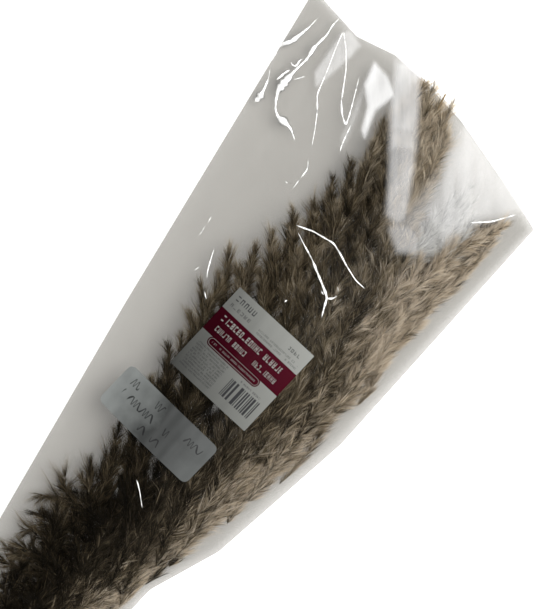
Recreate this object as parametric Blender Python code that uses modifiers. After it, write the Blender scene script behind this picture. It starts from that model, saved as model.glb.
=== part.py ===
"""A bundle of three dried silver grass stems in a clear film sleeve, lying on a surface.

Units are metres, +Z is up and the surface is the plane Z = 0. The stems run along +Y, with their
cut ends at -Y and their plumes at +Y, and the sleeve's flat underside rests on the surface. The
origin is the middle of the bundle's outer box, on that plane.

Each stem grew as one piece: a culm, which goes on as the plume's axis, and long side branches
(racemes) that stand out of it, covered in tufts. The sleeve is a flat tube of film, open at both
ends. A printed label and a plain sticker lie on top of it.
"""

import math
import random

import bmesh
import bpy
from mathutils import Vector

# Driving dimensions of the bundle.
BUNDLE_LENGTH = 0.760
MOUTH_WIDTH = 0.241
CULM_RADIUS = 0.0022
RACHIS_TIP_RADIUS = 0.0009
STEM_SIDES = 6
STEM_STEPS = 26
# How far up between the two films a stem's axis lies in its plume, and how far it stops short of the tip.
AXIS_SHARE = 0.42
AXIS_SHORT = 0.012

# The film is solid here, and far thicker than the real 0.04 mm.
FILM_WALL = 0.0006
SEAM_SPACE = 0.0005
PILLOW_HEIGHT = 0.0025
PILLOW_POWER = 4
SLEEVE_FOOT_Y = -0.320
SLEEVE_RINGS = 16
TOP_COLUMNS = 16
# Shares of the sleeve's width where its underside changes slope, and how far the columns of its
# top crowd towards the round right side.
UNDERSIDE_PLACES = (0, 0.084, 0.168, 0.25, 0.75, 0.832, 0.916, 1)
TOP_CROWDING = 0.4

# What lies on or beside another piece keeps this far from it.
REST_GAP = 0.0003
FLOOR_GAP = 0.0009
CEILING_GAP = 0.0012
PAPER_GAP = 0.0009

HALF_LENGTH = BUNDLE_LENGTH / 2
HALF_MOUTH = MOUTH_WIDTH / 2

# The sleeve's two side edges, as (y, x). The right one folds in below its bend.
MOUTH_LEFT_Y = 0.3780
MOUTH_RIGHT_Y = 0.3330
LEFT_EDGE = ((SLEEVE_FOOT_Y, -0.0405), (-0.0800, -0.0695), (0.1050, -0.0920), (MOUTH_LEFT_Y, -HALF_MOUTH))
RIGHT_EDGE = ((SLEEVE_FOOT_Y, 0.0265), (-0.0550, 0.0530), (-0.0010, 0.0770), (0.1180, 0.1016),
              (MOUTH_RIGHT_Y, HALF_MOUTH))
# How far each way the corners of a smoothed line are rounded.
CORNER_REACH = 0.020
# How far the mouth's edge stands past a straight line from corner to corner, by share of its width.
MOUTH_WAVE = ((0, 0), (0.20, 0), (0.33, 0.0120), (0.48, 0.0150), (0.62, 0.0152), (0.84, 0.0076), (1, 0))
WAVE_POWER = 6

# How high the two side seams are held off the surface, as (y, height), and the share of the
# sleeve's width, in its middle, that lies flat.
SEAM_LIFT = ((SLEEVE_FOOT_Y, 0.003), (-0.140, 0.008), (0.050, 0.012), (0.200, 0.011), (0.380, 0.005))
FLAT_SHARE = 0.5

# Where the film rises over the plumes, as (y, x), and how high it stands there, as (y, height).
# It comes down in a hollow slope on the left, and over the right plume's own round side.
BULGE_LEFT = ((SLEEVE_FOOT_Y, -0.034), (-0.140, -0.060), (-0.050, -0.072), (0.050, -0.083), (0.150, -0.088),
              (0.250, -0.074), (0.330, -0.058), (0.380, -0.050))
BULGE_RIGHT = ((SLEEVE_FOOT_Y, 0.0225), (-0.055, 0.0485), (0.121, 0.0960), (0.380, 0.1240))
BULGE_HEIGHT = ((SLEEVE_FOOT_Y, 0.006), (-0.230, 0.009), (-0.140, 0.020), (-0.050, 0.028), (0.050, 0.031),
                (0.150, 0.032), (0.250, 0.029), (0.380, 0.026))
HOLLOW_POWER = 1.5
ROUND_POWER = 0.9

# The outline of all the plumes together, as (y, x), and the lines that part them.
OUTLINE_LEFT = ((-0.210, -0.016), (-0.160, -0.034), (-0.100, -0.056), (-0.048, -0.061), (0.010, -0.040),
                (0.077, -0.047), (0.137, -0.055), (0.184, -0.057), (0.214, -0.040), (0.265, -0.029),
                (0.322, -0.020), (0.345, -0.018))
OUTLINE_RIGHT = ((-0.210, 0.012), (-0.150, 0.024), (-0.061, 0.040), (0.000, 0.058), (0.057, 0.070),
                 (0.101, 0.086), (0.170, 0.095), (0.284, 0.103), (0.330, 0.105))
PART_LEFT_MIDDLE = ((-0.380, -0.0095), (-0.200, -0.0065), (-0.065, -0.0050), (0.005, 0.0000), (0.075, 0.0100),
                    (0.145, 0.0200), (0.205, 0.0280), (0.265, 0.0340), (0.300, 0.0150), (0.345, -0.0080),
                    (0.380, -0.0300))
PART_MIDDLE_RIGHT = ((-0.380, -0.0025), (-0.200, 0.0015), (-0.125, 0.0055), (-0.065, 0.0140), (0.005, 0.0260),
                     (0.075, 0.0410), (0.145, 0.0560), (0.205, 0.0600), (0.271, 0.0530), (0.380, 0.0200))
# The right plume leans away from the middle one near its tip.
RIGHT_PLUME_LEFT = PART_MIDDLE_RIGHT[:-2] + ((0.255, 0.0570), (0.285, 0.0720), (0.330, 0.0960))
PART_GAP = 0.0003

# Each stem's own line, as (y, x) from its cut end to its tip, and where its plume starts.
STEMS = {
    "grass_stem_left": {
        "line": ((-0.3660, -0.0130), (-0.200, -0.0105), (-0.125, -0.0100), (-0.055, -0.0140),
                 (0.015, -0.0140), (0.085, -0.0080), (0.145, 0.0000), (0.205, 0.0030), (0.265, 0.0000),
                 (0.3400, -0.0130)),
        "plume_foot": -0.175, "left": OUTLINE_LEFT, "right": PART_LEFT_MIDDLE, "racemes": 24, "seed": 13,
    },
    "grass_stem_middle": {
        "line": ((-HALF_LENGTH, -0.0060), (-0.200, -0.0025), (-0.125, 0.0000), (-0.065, 0.0050),
                 (0.005, 0.0130), (0.075, 0.0260), (0.145, 0.0385), (0.205, 0.0440), (0.265, 0.0430),
                 (0.310, 0.0250), (0.345, 0.0130), (HALF_LENGTH, 0.0040)),
        "plume_foot": -0.130, "left": PART_LEFT_MIDDLE, "right": PART_MIDDLE_RIGHT, "racemes": 20, "seed": 23,
    },
    "grass_stem_right": {
        "line": ((-0.3520, 0.0010), (-0.200, 0.0060), (-0.125, 0.0110), (-0.065, 0.0240), (0.005, 0.0400),
                 (0.075, 0.0560), (0.145, 0.0760), (0.205, 0.0800), (0.265, 0.0870), (0.3260, 0.1000)),
        "plume_foot": -0.160, "left": RIGHT_PLUME_LEFT, "right": OUTLINE_RIGHT, "racemes": 18, "seed": 38,
    },
}

# A raceme is a slim four-sided branch whose every face is drawn out into a tuft. Its length varies,
# and the last racemes before the tip are shorter.
RACEME_LENGTH = 0.120
LENGTH_LEAST = 0.85
LENGTH_SPAN = 0.3
TIP_SHORTENING = 0.45
SHORTENING_POWER = 3
FIRST_TIP_SHARE = 0.55
RACEME_JOINTS = 5
RACEME_RADIUS = 0.0032
RACEME_TIP_RADIUS = 0.0014
RACEME_TAPER = 0.45
# How far across its plume's room a raceme ends, how soon it gets there, and how the room's cross
# section is rounded and closes in at the tip.
RACEME_REACH = 0.95
REACH_LEAST = 0.80
REACH_SPAN = 0.20
SPREAD_POWER = 0.8
BOX_POWER = 0.75
TIP_SHORT = 0.009
TIP_CLOSING = 0.8
CLOSING_POWER = 6
TUFT_FORWARD = 0.0240
TUFT_OUT = 0.0080
TUFT_VARIATION = 0.25
CELL_MARGIN = 0.0035
TUFT_SLACK = 0.0010
CAP_SHARE = 0.1
MERGE_DISTANCE = 1e-6
GOLDEN_ANGLE = math.radians(137.508)

# The flat pieces on the film, as size, middle and turn.
PAPER_THICKNESS = 0.0004
LABEL_SIZE = (0.0745, 0.0765)
LABEL_MIDDLE = (0.0038, 0.1260)
STICKER_SIZE = (0.0900, 0.0360)
STICKER_MIDDLE = (-0.0168, 0.0495)
STICKER_CORNER = 0.0045
PAPER_TURN = math.radians(-6.0)
PAPER_CELLS = 8
CORNER_TURNS = (0.0, 30.0, 60.0, 90.0)

# Colours as linear RGB and alpha, and how rough each surface is.
FILM_COLOUR = (0.80, 0.80, 0.78, 0.20)
LABEL_COLOUR = (0.72, 0.72, 0.69, 1.0)
STICKER_COLOUR = (0.62, 0.63, 0.62, 1.0)
LEFT_PLUME_COLOUR = (0.10, 0.085, 0.065, 1.0)
MIDDLE_PLUME_COLOUR = (0.15, 0.125, 0.095, 1.0)
RIGHT_PLUME_COLOUR = (0.24, 0.195, 0.145, 1.0)
FILM_ROUGHNESS = 0.08
PLUME_ROUGHNESS = 0.75
LABEL_ROUGHNESS = 0.5
STICKER_ROUGHNESS = 0.6


def along(points, at):
    """Reads a line of (place, value) points at a place, straight between points and level past its ends."""
    if at <= points[0][0]:
        return points[0][1]
    for (start, low), (end, high) in zip(points, points[1:]):
        if at <= end:
            return low + (high - low) * (at - start) / (end - start)
    return points[-1][1]


def smooth_along(points, at):
    """As along(), with the corners rounded by averaging over a short stretch each way."""
    return sum(along(points, at + CORNER_REACH * step) for step in (-1, -0.5, 0, 0.5, 1)) / 5


def sleeve_share(x, y):
    """Where a place lies across the sleeve, from -1 at its left edge to 1 at its right one."""
    left = along(LEFT_EDGE, y)
    right = along(RIGHT_EDGE, y)
    return (2 * x - left - right) / (right - left)


def film_under(x, y):
    """The outside of the lower film: flat on the surface, and lifted towards the side seams."""
    beyond = max(0.0, abs(sleeve_share(x, y)) - FLAT_SHARE) / (1 - FLAT_SHARE)
    return smooth_along(SEAM_LIFT, y) * beyond ** 2


def floor(x, y):
    """The upper side of the lower film."""
    return film_under(x, y) + FILM_WALL


def ceiling(x, y):
    """The underside of the upper film."""
    left = smooth_along(BULGE_LEFT, y)
    right = smooth_along(BULGE_RIGHT, y)
    across = (2 * x - left - right) / (right - left)
    power = HOLLOW_POWER if across < 0 else ROUND_POWER
    bulge = max(0.0, 1 - across * across) ** power * smooth_along(BULGE_HEIGHT, y)
    pillow = PILLOW_HEIGHT * max(0.0, 1 - sleeve_share(x, y) ** PILLOW_POWER)
    return FILM_WALL + smooth_along(SEAM_LIFT, y) + SEAM_SPACE + pillow + bulge


def film_top(x, y):
    """The outside of the upper film."""
    return ceiling(x, y) + FILM_WALL


def mesh_object(name, bm, collection):
    """Puts a bmesh into a new object in a collection."""
    mesh = bpy.data.meshes.new(name)
    bm.to_mesh(mesh)
    bm.free()
    made = bpy.data.objects.new(name, mesh)
    collection.objects.link(made)
    return made


def material(name, colour, roughness):
    """A Principled material of one colour."""
    made = bpy.data.materials.new(name)
    made.use_nodes = True
    shader = made.node_tree.nodes["Principled BSDF"]
    shader.inputs["Base Color"].default_value = colour[:3] + (1.0,)
    shader.inputs["Roughness"].default_value = roughness
    shader.inputs["Metallic"].default_value = 0.0
    shader.inputs["Alpha"].default_value = colour[3]
    return made


def sleeve_ring(share, inset):
    """One ring of the sleeve's surface, at a share of the way from its foot to its mouth.

    inset 0 gives the outer surface and FILM_WALL the inner one. The ring runs over the top from
    right to left, and back along the underside.
    """
    left_y = SLEEVE_FOOT_Y + (MOUTH_LEFT_Y - SLEEVE_FOOT_Y) * share
    right_y = SLEEVE_FOOT_Y + (MOUTH_RIGHT_Y - SLEEVE_FOOT_Y) * share
    left = along(LEFT_EDGE, left_y) + 2 * inset
    right = along(RIGHT_EDGE, right_y) - 2 * inset

    def place(across):
        x = left + (right - left) * across
        y = left_y + (right_y - left_y) * across + along(MOUTH_WAVE, across) * share ** WAVE_POWER
        return x, y

    ring = []
    for column in range(TOP_COLUMNS, -1, -1):
        even = column / TOP_COLUMNS
        x, y = place(even + TOP_CROWDING * (math.sin(even * math.pi / 2) - even))
        ring.append(Vector((x, y, film_top(x, y) - inset)))
    for across in UNDERSIDE_PLACES:
        x, y = place(across)
        ring.append(Vector((x, y, film_under(x, y) + inset)))
    return ring


def make_sleeve(collection):
    """A flat tube of film, lofted ring by ring, with its own wall all round."""
    bm = bmesh.new()
    layers = []
    for inset in (0.0, FILM_WALL):
        rings = []
        for ring in range(SLEEVE_RINGS + 1):
            points = sleeve_ring(ring / SLEEVE_RINGS, inset)
            rings.append([bm.verts.new(point) for point in points])
        layers.append(rings)
    outer, inner = layers
    around = len(outer[0])
    for rings in layers:
        for low, high in zip(rings, rings[1:]):
            for i in range(around):
                j = (i + 1) % around
                bm.faces.new((low[i], low[j], high[j], high[i]))
    for end in (0, -1):
        for i in range(around):
            j = (i + 1) % around
            bm.faces.new((outer[end][i], outer[end][j], inner[end][j], inner[end][i]))
    bmesh.ops.recalc_face_normals(bm, faces=bm.faces)
    made = mesh_object("film_sleeve", bm, collection)
    made.data.materials.append(material("film", FILM_COLOUR, FILM_ROUGHNESS))
    return made


def stem_axis(stem, y):
    """The middle of a stem at a place along it: low in the sleeve's foot, and mid-way up in its plume."""
    x = smooth_along(stem["line"], y)
    resting = REST_GAP + CULM_RADIUS
    lifted = AXIS_SHARE * (ceiling(x, y) - floor(x, y))
    return Vector((x, y, floor(x, y) + max(resting, lifted)))


def cell_point(stem, y, across, up):
    """A point of a plume's own room at y, with across and up from -1 to 1."""
    left = along(stem["left"], y) + CELL_MARGIN
    right = along(stem["right"], y) - CELL_MARGIN
    x = left + (right - left) * (across + 1) / 2
    low = floor(x, y) + CELL_MARGIN
    high = max(low, ceiling(x, y) - CELL_MARGIN)
    return Vector((x, y, low + (high - low) * (up + 1) / 2))


def boxy(value):
    """Draws a circle's cosine or sine out towards a square's corners."""
    return math.copysign(abs(value) ** BOX_POWER, value)


def keep_in_cell(stem, point, slack):
    """Moves a point into its plume's own room, a little inside its limits by slack."""
    left = along(stem["left"], point.y) + PART_GAP + slack
    right = along(stem["right"], point.y) - PART_GAP - slack
    point.x = min(max(point.x, left), right)
    low = floor(point.x, point.y) + FLOOR_GAP + slack
    high = ceiling(point.x, point.y) - CEILING_GAP - slack
    point.z = max(low, min(point.z, high))


def tube_mesh(name, points, radii, sides):
    """A closed tube through points, as the mesh of a curve with a round bevel."""
    curve = bpy.data.curves.new(name, "CURVE")
    curve.dimensions = "3D"
    curve.bevel_depth = 1.0
    curve.bevel_resolution = (sides - 4) // 2
    curve.use_fill_caps = True
    spline = curve.splines.new("POLY")
    spline.points.add(len(points) - 1)
    for node, point, radius in zip(spline.points, points, radii):
        node.co = (*point, 1.0)
        node.radius = radius
    holder = bpy.data.objects.new(name, curve)
    bpy.context.scene.collection.objects.link(holder)
    graph = bpy.context.evaluated_depsgraph_get()
    mesh = bpy.data.meshes.new_from_object(holder.evaluated_get(graph))
    bpy.data.objects.remove(holder)
    bpy.data.curves.remove(curve)
    bm = bmesh.new()
    bm.from_mesh(mesh)
    bpy.data.meshes.remove(mesh)
    bmesh.ops.remove_doubles(bm, verts=bm.verts, dist=MERGE_DISTANCE)
    bmesh.ops.recalc_face_normals(bm, faces=bm.faces)
    return bm


def make_raceme(stem, foot_y, tip_y, reach, turn, rng, collection):
    """One side branch, from the plume's axis out towards its room's edge, with a tuft on every face."""
    across, up = reach * boxy(math.cos(turn)), reach * boxy(math.sin(turn))
    path, radii = [], []
    for joint in range(RACEME_JOINTS + 1):
        share = joint / RACEME_JOINTS
        y = foot_y + (tip_y - foot_y) * share
        spread = math.sin(share * math.pi / 2) ** SPREAD_POWER
        path.append(stem_axis(stem, y).lerp(cell_point(stem, y, across, up), spread))
        radii.append(RACEME_RADIUS + (RACEME_TIP_RADIUS - RACEME_RADIUS) * share)
    bm = tube_mesh("raceme", path, radii, 4)
    sides = [face for face in bm.faces if len(face.verts) == 4 and is_side(face, path)]
    poked = bmesh.ops.poke(bm, faces=sides)
    for tuft in poked["verts"]:
        joint = min(range(RACEME_JOINTS), key=lambda k: (path[k].lerp(path[k + 1], 0.5) - tuft.co).length)
        forward = (path[joint + 1] - path[joint]).normalized()
        out = tuft.co - path[joint].lerp(path[joint + 1], 0.5)
        out = (out - forward * out.dot(forward)).normalized()
        size = 1 + TUFT_VARIATION * (2 * rng.random() - 1)
        taper = 1 - RACEME_TAPER * joint / RACEME_JOINTS
        tuft.co += forward * TUFT_FORWARD * size * taper + out * TUFT_OUT * size * taper
        if tuft.co.y > stem["line"][-1][0]:
            tuft.co.y = stem["line"][-1][0] - TUFT_SLACK * rng.random()
        keep_in_cell(stem, tuft.co, TUFT_SLACK * rng.random())
    bmesh.ops.triangulate(bm, faces=bm.faces)
    bmesh.ops.recalc_face_normals(bm, faces=bm.faces)
    return mesh_object("raceme", bm, collection)


def is_side(face, path):
    """True for a face along a raceme, and False for the caps at its two ends."""
    middle = face.calc_center_median()
    ends = ((path[0], path[1]), (path[-1], path[-2]))
    return all((middle - end).length > CAP_SHARE * (inner - end).length for end, inner in ends)


def make_stem(name, stem, colour, collection):
    """A culm that goes on as its plume's axis, with its racemes joined to it in one body."""
    rng = random.Random(stem["seed"])
    cut_y, tip_y = stem["line"][0][0], stem["line"][-1][0]
    points, radii = [], []
    for step in range(STEM_STEPS + 1):
        y = cut_y + (tip_y - AXIS_SHORT - cut_y) * step / STEM_STEPS
        points.append(stem_axis(stem, y))
        thinning = min(1.0, max(0.0, (y - stem["plume_foot"]) / (tip_y - stem["plume_foot"])))
        radii.append(CULM_RADIUS + (RACHIS_TIP_RADIUS - CULM_RADIUS) * thinning)
    body = mesh_object(name, tube_mesh(name, points, radii, STEM_SIDES), collection)
    branches = bpy.data.collections.new(name + " racemes")
    bpy.context.scene.collection.children.link(branches)
    count = stem["racemes"]
    first_tip = stem["plume_foot"] + FIRST_TIP_SHARE * RACEME_LENGTH
    for i in range(count):
        share = i / (count - 1)
        raceme_tip = first_tip + (tip_y - TIP_SHORT - first_tip) * share
        shorter = 1 - TIP_SHORTENING * share ** SHORTENING_POWER
        length = RACEME_LENGTH * shorter * (LENGTH_LEAST + LENGTH_SPAN * rng.random())
        foot = max(stem["plume_foot"], raceme_tip - length)
        closing = 1 - TIP_CLOSING * share ** CLOSING_POWER
        reach = RACEME_REACH * (REACH_LEAST + REACH_SPAN * rng.random()) * closing
        make_raceme(stem, foot, raceme_tip, reach, i * GOLDEN_ANGLE, rng, branches)
    join(body, branches)
    body.data.materials.clear()
    body.data.materials.append(material(name, colour, PLUME_ROUGHNESS))
    return body


def join(body, others):
    """Fuses a collection's objects into a body with one Boolean union, and removes them."""
    fuse = body.modifiers.new("fuse", "BOOLEAN")
    fuse.operation = "UNION"
    fuse.operand_type = "COLLECTION"
    fuse.collection = others
    fuse.solver = "MANIFOLD"
    graph = bpy.context.evaluated_depsgraph_get()
    fused = bpy.data.meshes.new_from_object(body.evaluated_get(graph))
    body.modifiers.remove(fuse)
    body.data = fused
    keep_largest(fused)
    for other in list(others.objects):
        bpy.data.objects.remove(other)
    bpy.data.collections.remove(others)


def keep_largest(mesh):
    """Drops the loose scraps and sealed hollows that a union leaves, and keeps the one main body."""
    bm = bmesh.new()
    bm.from_mesh(mesh)
    unseen = set(bm.faces)
    bodies = []
    while unseen:
        front = [unseen.pop()]
        body = set(front)
        while front:
            for edge in front.pop().edges:
                for face in edge.link_faces:
                    if face in unseen:
                        unseen.discard(face)
                        body.add(face)
                        front.append(face)
        bodies.append(body)
    largest = max(bodies, key=len)
    bmesh.ops.delete(bm, geom=[face for face in bm.faces if face not in largest], context="FACES")
    bm.to_mesh(mesh)
    bm.free()


def paper_outline(size, corner):
    """The corners of a card, or of one with rounded corners, turned and in order."""
    half_x, half_y = size[0] / 2 - corner, size[1] / 2 - corner
    turns = (0,) if corner == 0 else CORNER_TURNS
    points = []
    corners = ((half_x, half_y), (-half_x, half_y), (-half_x, -half_y), (half_x, -half_y))
    for quarter, (x, y) in enumerate(corners):
        for turn in turns:
            angle = math.radians(90 * quarter + turn)
            points.append((x + corner * math.cos(angle), y + corner * math.sin(angle)))
    return points


def make_paper(name, size, middle, corner, colour, roughness, collection):
    """A thin card that follows the film under it, cut to its outline."""
    outline = paper_outline(size, corner)
    bm = bmesh.new()
    bm.faces.new([bm.verts.new((x, y, 0)) for x, y in outline])
    for axis, length in ((0, size[0]), (1, size[1])):
        for cut in range(1, PAPER_CELLS):
            place = Vector((0, 0, 0))
            place[axis] = length * (cut / PAPER_CELLS - 0.5)
            normal = Vector((0, 0, 0))
            normal[axis] = 1
            everything = bm.verts[:] + bm.edges[:] + bm.faces[:]
            bmesh.ops.bisect_plane(bm, geom=everything, plane_co=place, plane_no=normal)
    cos, sin = math.cos(PAPER_TURN), math.sin(PAPER_TURN)
    for vert in bm.verts:
        x, y = vert.co.x, vert.co.y
        vert.co.x = middle[0] + x * cos - y * sin
        vert.co.y = middle[1] + x * sin + y * cos
        vert.co.z = film_top(vert.co.x, vert.co.y) + PAPER_GAP
    bmesh.ops.triangulate(bm, faces=bm.faces)
    bmesh.ops.recalc_face_normals(bm, faces=bm.faces)
    made = mesh_object(name, bm, collection)
    thicken = made.modifiers.new("thickness", "SOLIDIFY")
    thicken.thickness = PAPER_THICKNESS
    thicken.offset = 1.0
    made.data.materials.append(material(name, colour, roughness))
    return made


def main():
    for old in list(bpy.data.objects):
        bpy.data.objects.remove(old)
    bundle = bpy.data.collections.new("silver_grass_bundle")
    bpy.context.scene.collection.children.link(bundle)
    colours = (LEFT_PLUME_COLOUR, MIDDLE_PLUME_COLOUR, RIGHT_PLUME_COLOUR)
    for (name, stem), colour in zip(STEMS.items(), colours):
        make_stem(name, stem, colour, bundle)
    make_sleeve(bundle)
    make_paper("product_label", LABEL_SIZE, LABEL_MIDDLE, 0.0, LABEL_COLOUR, LABEL_ROUGHNESS, bundle)
    make_paper("plain_sticker", STICKER_SIZE, STICKER_MIDDLE, STICKER_CORNER, STICKER_COLOUR,
               STICKER_ROUGHNESS, bundle)


main()
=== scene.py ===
import math

import bpy
import numpy as np
from bpy.props import FloatProperty, FloatVectorProperty, PointerProperty
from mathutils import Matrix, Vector


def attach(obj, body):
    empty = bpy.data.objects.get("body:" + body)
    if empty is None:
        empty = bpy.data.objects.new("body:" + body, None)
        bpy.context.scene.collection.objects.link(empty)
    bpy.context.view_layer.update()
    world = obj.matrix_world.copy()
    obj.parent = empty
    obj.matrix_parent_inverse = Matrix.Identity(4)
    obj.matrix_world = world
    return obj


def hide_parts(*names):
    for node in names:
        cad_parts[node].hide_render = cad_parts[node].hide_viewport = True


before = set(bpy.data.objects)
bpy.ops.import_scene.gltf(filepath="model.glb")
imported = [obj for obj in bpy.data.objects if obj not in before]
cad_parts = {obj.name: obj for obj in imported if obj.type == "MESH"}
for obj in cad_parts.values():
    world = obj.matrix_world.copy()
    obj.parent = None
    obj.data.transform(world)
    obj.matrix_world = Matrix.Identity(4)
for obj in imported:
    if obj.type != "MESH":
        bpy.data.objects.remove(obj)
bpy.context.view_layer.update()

bl_info = {
    "name": "Silver grass bundle",
    "version": (1, 0, 0),
    "blender": (4, 5, 0),
    "location": "3D View > Sidebar > Bundle",
    "description": "Three dried silver grass stems in a clear film sleeve, with a label and a sticker",
    "category": "Add Mesh",
}

# Lengths are in metres and angles in radians. The stems run along +Y from the cut ends to the tips,
# +Z is up and the surface is Z = 0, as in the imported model.

# The sleeve's and the plumes' places, as (y, x) or (y, height)

SLEEVE_FOOT_Y = -0.320
MOUTH_LEFT_Y = 0.3780
MOUTH_RIGHT_Y = 0.3330
FILM_WALL = 0.0006
FILM_SKIN = 0.00014
SEAM_SPACE = 0.0005
PILLOW_HEIGHT = 0.0025
FLAT_SHARE = 0.5
HOLLOW_POWER = 1.5
ROUND_POWER = 0.9

LEFT_EDGE = ((SLEEVE_FOOT_Y, -0.0405), (-0.0800, -0.0695), (0.1050, -0.0920), (MOUTH_LEFT_Y, -0.1205))
RIGHT_EDGE = ((SLEEVE_FOOT_Y, 0.0265), (-0.0550, 0.0530), (-0.0010, 0.0770), (0.1180, 0.1016),
              (MOUTH_RIGHT_Y, 0.1205))
MOUTH_WAVE = ((0, 0), (0.20, 0), (0.33, 0.0120), (0.48, 0.0150), (0.62, 0.0152), (0.84, 0.0076), (1, 0))
SEAM_LIFT = ((SLEEVE_FOOT_Y, 0.003), (-0.140, 0.008), (0.050, 0.012), (0.200, 0.011), (0.380, 0.005))
BULGE_LEFT = ((SLEEVE_FOOT_Y, -0.034), (-0.140, -0.060), (-0.050, -0.072), (0.050, -0.083), (0.150, -0.088),
              (0.250, -0.074), (0.330, -0.058), (0.380, -0.050))
BULGE_RIGHT = ((SLEEVE_FOOT_Y, 0.0225), (-0.055, 0.0485), (0.121, 0.0960), (0.380, 0.1240))
BULGE_HEIGHT = ((SLEEVE_FOOT_Y, 0.006), (-0.230, 0.009), (-0.140, 0.020), (-0.050, 0.028), (0.050, 0.031),
                (0.150, 0.032), (0.250, 0.029), (0.380, 0.026))

OUTLINE_LEFT = ((-0.210, -0.016), (-0.160, -0.034), (-0.100, -0.056), (-0.048, -0.061), (0.010, -0.040),
                (0.077, -0.047), (0.137, -0.055), (0.184, -0.057), (0.214, -0.040), (0.265, -0.029),
                (0.322, -0.020), (0.345, -0.018))
OUTLINE_RIGHT = ((-0.210, 0.012), (-0.150, 0.024), (-0.061, 0.040), (0.000, 0.058), (0.057, 0.070),
                 (0.101, 0.086), (0.170, 0.095), (0.284, 0.103), (0.330, 0.105))
PART_LEFT_MIDDLE = ((-0.380, -0.0095), (-0.200, -0.0065), (-0.065, -0.0050), (0.005, 0.0000),
                    (0.075, 0.0100), (0.145, 0.0200), (0.205, 0.0280), (0.265, 0.0340), (0.300, 0.0150),
                    (0.345, -0.0080), (0.380, -0.0300))
PART_MIDDLE_RIGHT = ((-0.380, -0.0025), (-0.200, 0.0015), (-0.125, 0.0055), (-0.065, 0.0140),
                     (0.005, 0.0260), (0.075, 0.0410), (0.145, 0.0560), (0.205, 0.0600), (0.271, 0.0530),
                     (0.380, 0.0200))
RIGHT_PLUME_LEFT = PART_MIDDLE_RIGHT[:-2] + ((0.255, 0.0570), (0.285, 0.0720), (0.330, 0.0960))

STEM_LINES = {
    "left": ((-0.3660, -0.0130), (-0.200, -0.0105), (-0.125, -0.0100), (-0.055, -0.0140), (0.015, -0.0140),
             (0.085, -0.0080), (0.145, 0.0000), (0.205, 0.0030), (0.265, 0.0000), (0.3400, -0.0130)),
    "middle": ((-0.380, -0.0060), (-0.200, -0.0025), (-0.125, 0.0000), (-0.065, 0.0050), (0.005, 0.0130),
               (0.075, 0.0260), (0.145, 0.0385), (0.205, 0.0440), (0.265, 0.0430), (0.310, 0.0250),
               (0.345, 0.0130), (0.380, 0.0040)),
    "right": ((-0.3520, 0.0010), (-0.200, 0.0060), (-0.125, 0.0110), (-0.065, 0.0240), (0.005, 0.0400),
              (0.075, 0.0560), (0.145, 0.0760), (0.205, 0.0800), (0.265, 0.0870), (0.3260, 0.1000)),
}
PLUMES = {
    "left": {"foot": -0.175, "left": OUTLINE_LEFT, "right": PART_LEFT_MIDDLE},
    "middle": {"foot": -0.130, "left": PART_LEFT_MIDDLE, "right": PART_MIDDLE_RIGHT},
    "right": {"foot": -0.160, "left": RIGHT_PLUME_LEFT, "right": OUTLINE_RIGHT},
}
HAIR_SEEDS = {"left": 5, "middle": 6, "right": 7, "pale": 8}

CULM_RADIUS = 0.0022
RACHIS_TIP_RADIUS = 0.0007
REST_GAP = 0.0003
SEAM_PINCH = 0.006
CORNER_STEP = 0.020

# How near to the seams the hairs come, as a share of the sleeve's half width, and the room past that
EDGE_SHARE = 0.86
EDGE_ROOM = 0.08

# Heights of the film's waves: broad and fine ones across the sleeve, then broad and fine ones along it
RELIEF = (0.00022, 0.00016, 0.00020, 0.00012)


def at(table, place):
    """Reads a table of (place, value) rows at one place or many."""
    return np.interp(place, [row[0] for row in table], [row[1] for row in table])


def smooth_at(table, place):
    """As at(), with the table's corners rounded."""
    place = np.asarray(place, float)
    return sum(at(table, place + CORNER_STEP * step) for step in (-1, -0.5, 0, 0.5, 1)) / 5


def sleeve_share(x, y):
    """Where a place lies across the sleeve, from -1 at its left edge to 1 at its right one."""
    left, right = at(LEFT_EDGE, y), at(RIGHT_EDGE, y)
    return (2 * x - left - right) / (right - left)


def film_under(x, y):
    """The outside of the lower film."""
    beyond = np.maximum(0, np.abs(sleeve_share(x, y)) - FLAT_SHARE) / (1 - FLAT_SHARE)
    return smooth_at(SEAM_LIFT, y) * beyond ** 2


def floor(x, y):
    """The upper side of the lower film."""
    return film_under(x, y) + FILM_WALL


def ceiling(x, y):
    """The underside of the upper film."""
    left, right = smooth_at(BULGE_LEFT, y), smooth_at(BULGE_RIGHT, y)
    across = (2 * x - left - right) / (right - left)
    power = np.where(across < 0, HOLLOW_POWER, ROUND_POWER)
    bulge = np.maximum(0, 1 - across * across) ** power * smooth_at(BULGE_HEIGHT, y)
    pillow = PILLOW_HEIGHT * np.maximum(0, 1 - sleeve_share(x, y) ** 4)
    return FILM_WALL + smooth_at(SEAM_LIFT, y) + SEAM_SPACE + pillow + bulge


def film_relief(x, y):
    """Shallow waves and folds that fan out from the bundle towards the mouth."""
    share = sleeve_share(x, y)
    broad, fine, broad_along, fine_along = RELIEF
    waves = broad * np.sin(share * 31 + 3.0 * np.sin(y * 11)) + fine * np.sin(share * 57 - y * 23 + 1.3)
    folds = broad_along * np.sin(y * 64 + 4 * np.sin(share * 3.1)) + fine_along * np.sin(y * 131 + share * 9)
    return waves + folds


def film_skin(x, y):
    """The outside of the upper film, drawn down to the lower one at the seams."""
    under = film_under(x, y)
    half_width = (at(RIGHT_EDGE, y) - at(LEFT_EDGE, y)) / 2
    inwards = np.clip((1 - np.abs(sleeve_share(x, y))) * half_width / SEAM_PINCH, 0, 1)
    inwards = inwards * (2 - inwards)
    return under + (ceiling(x, y) + FILM_WALL + film_relief(x, y) - under) * inwards


# Settings that a user would change

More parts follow.
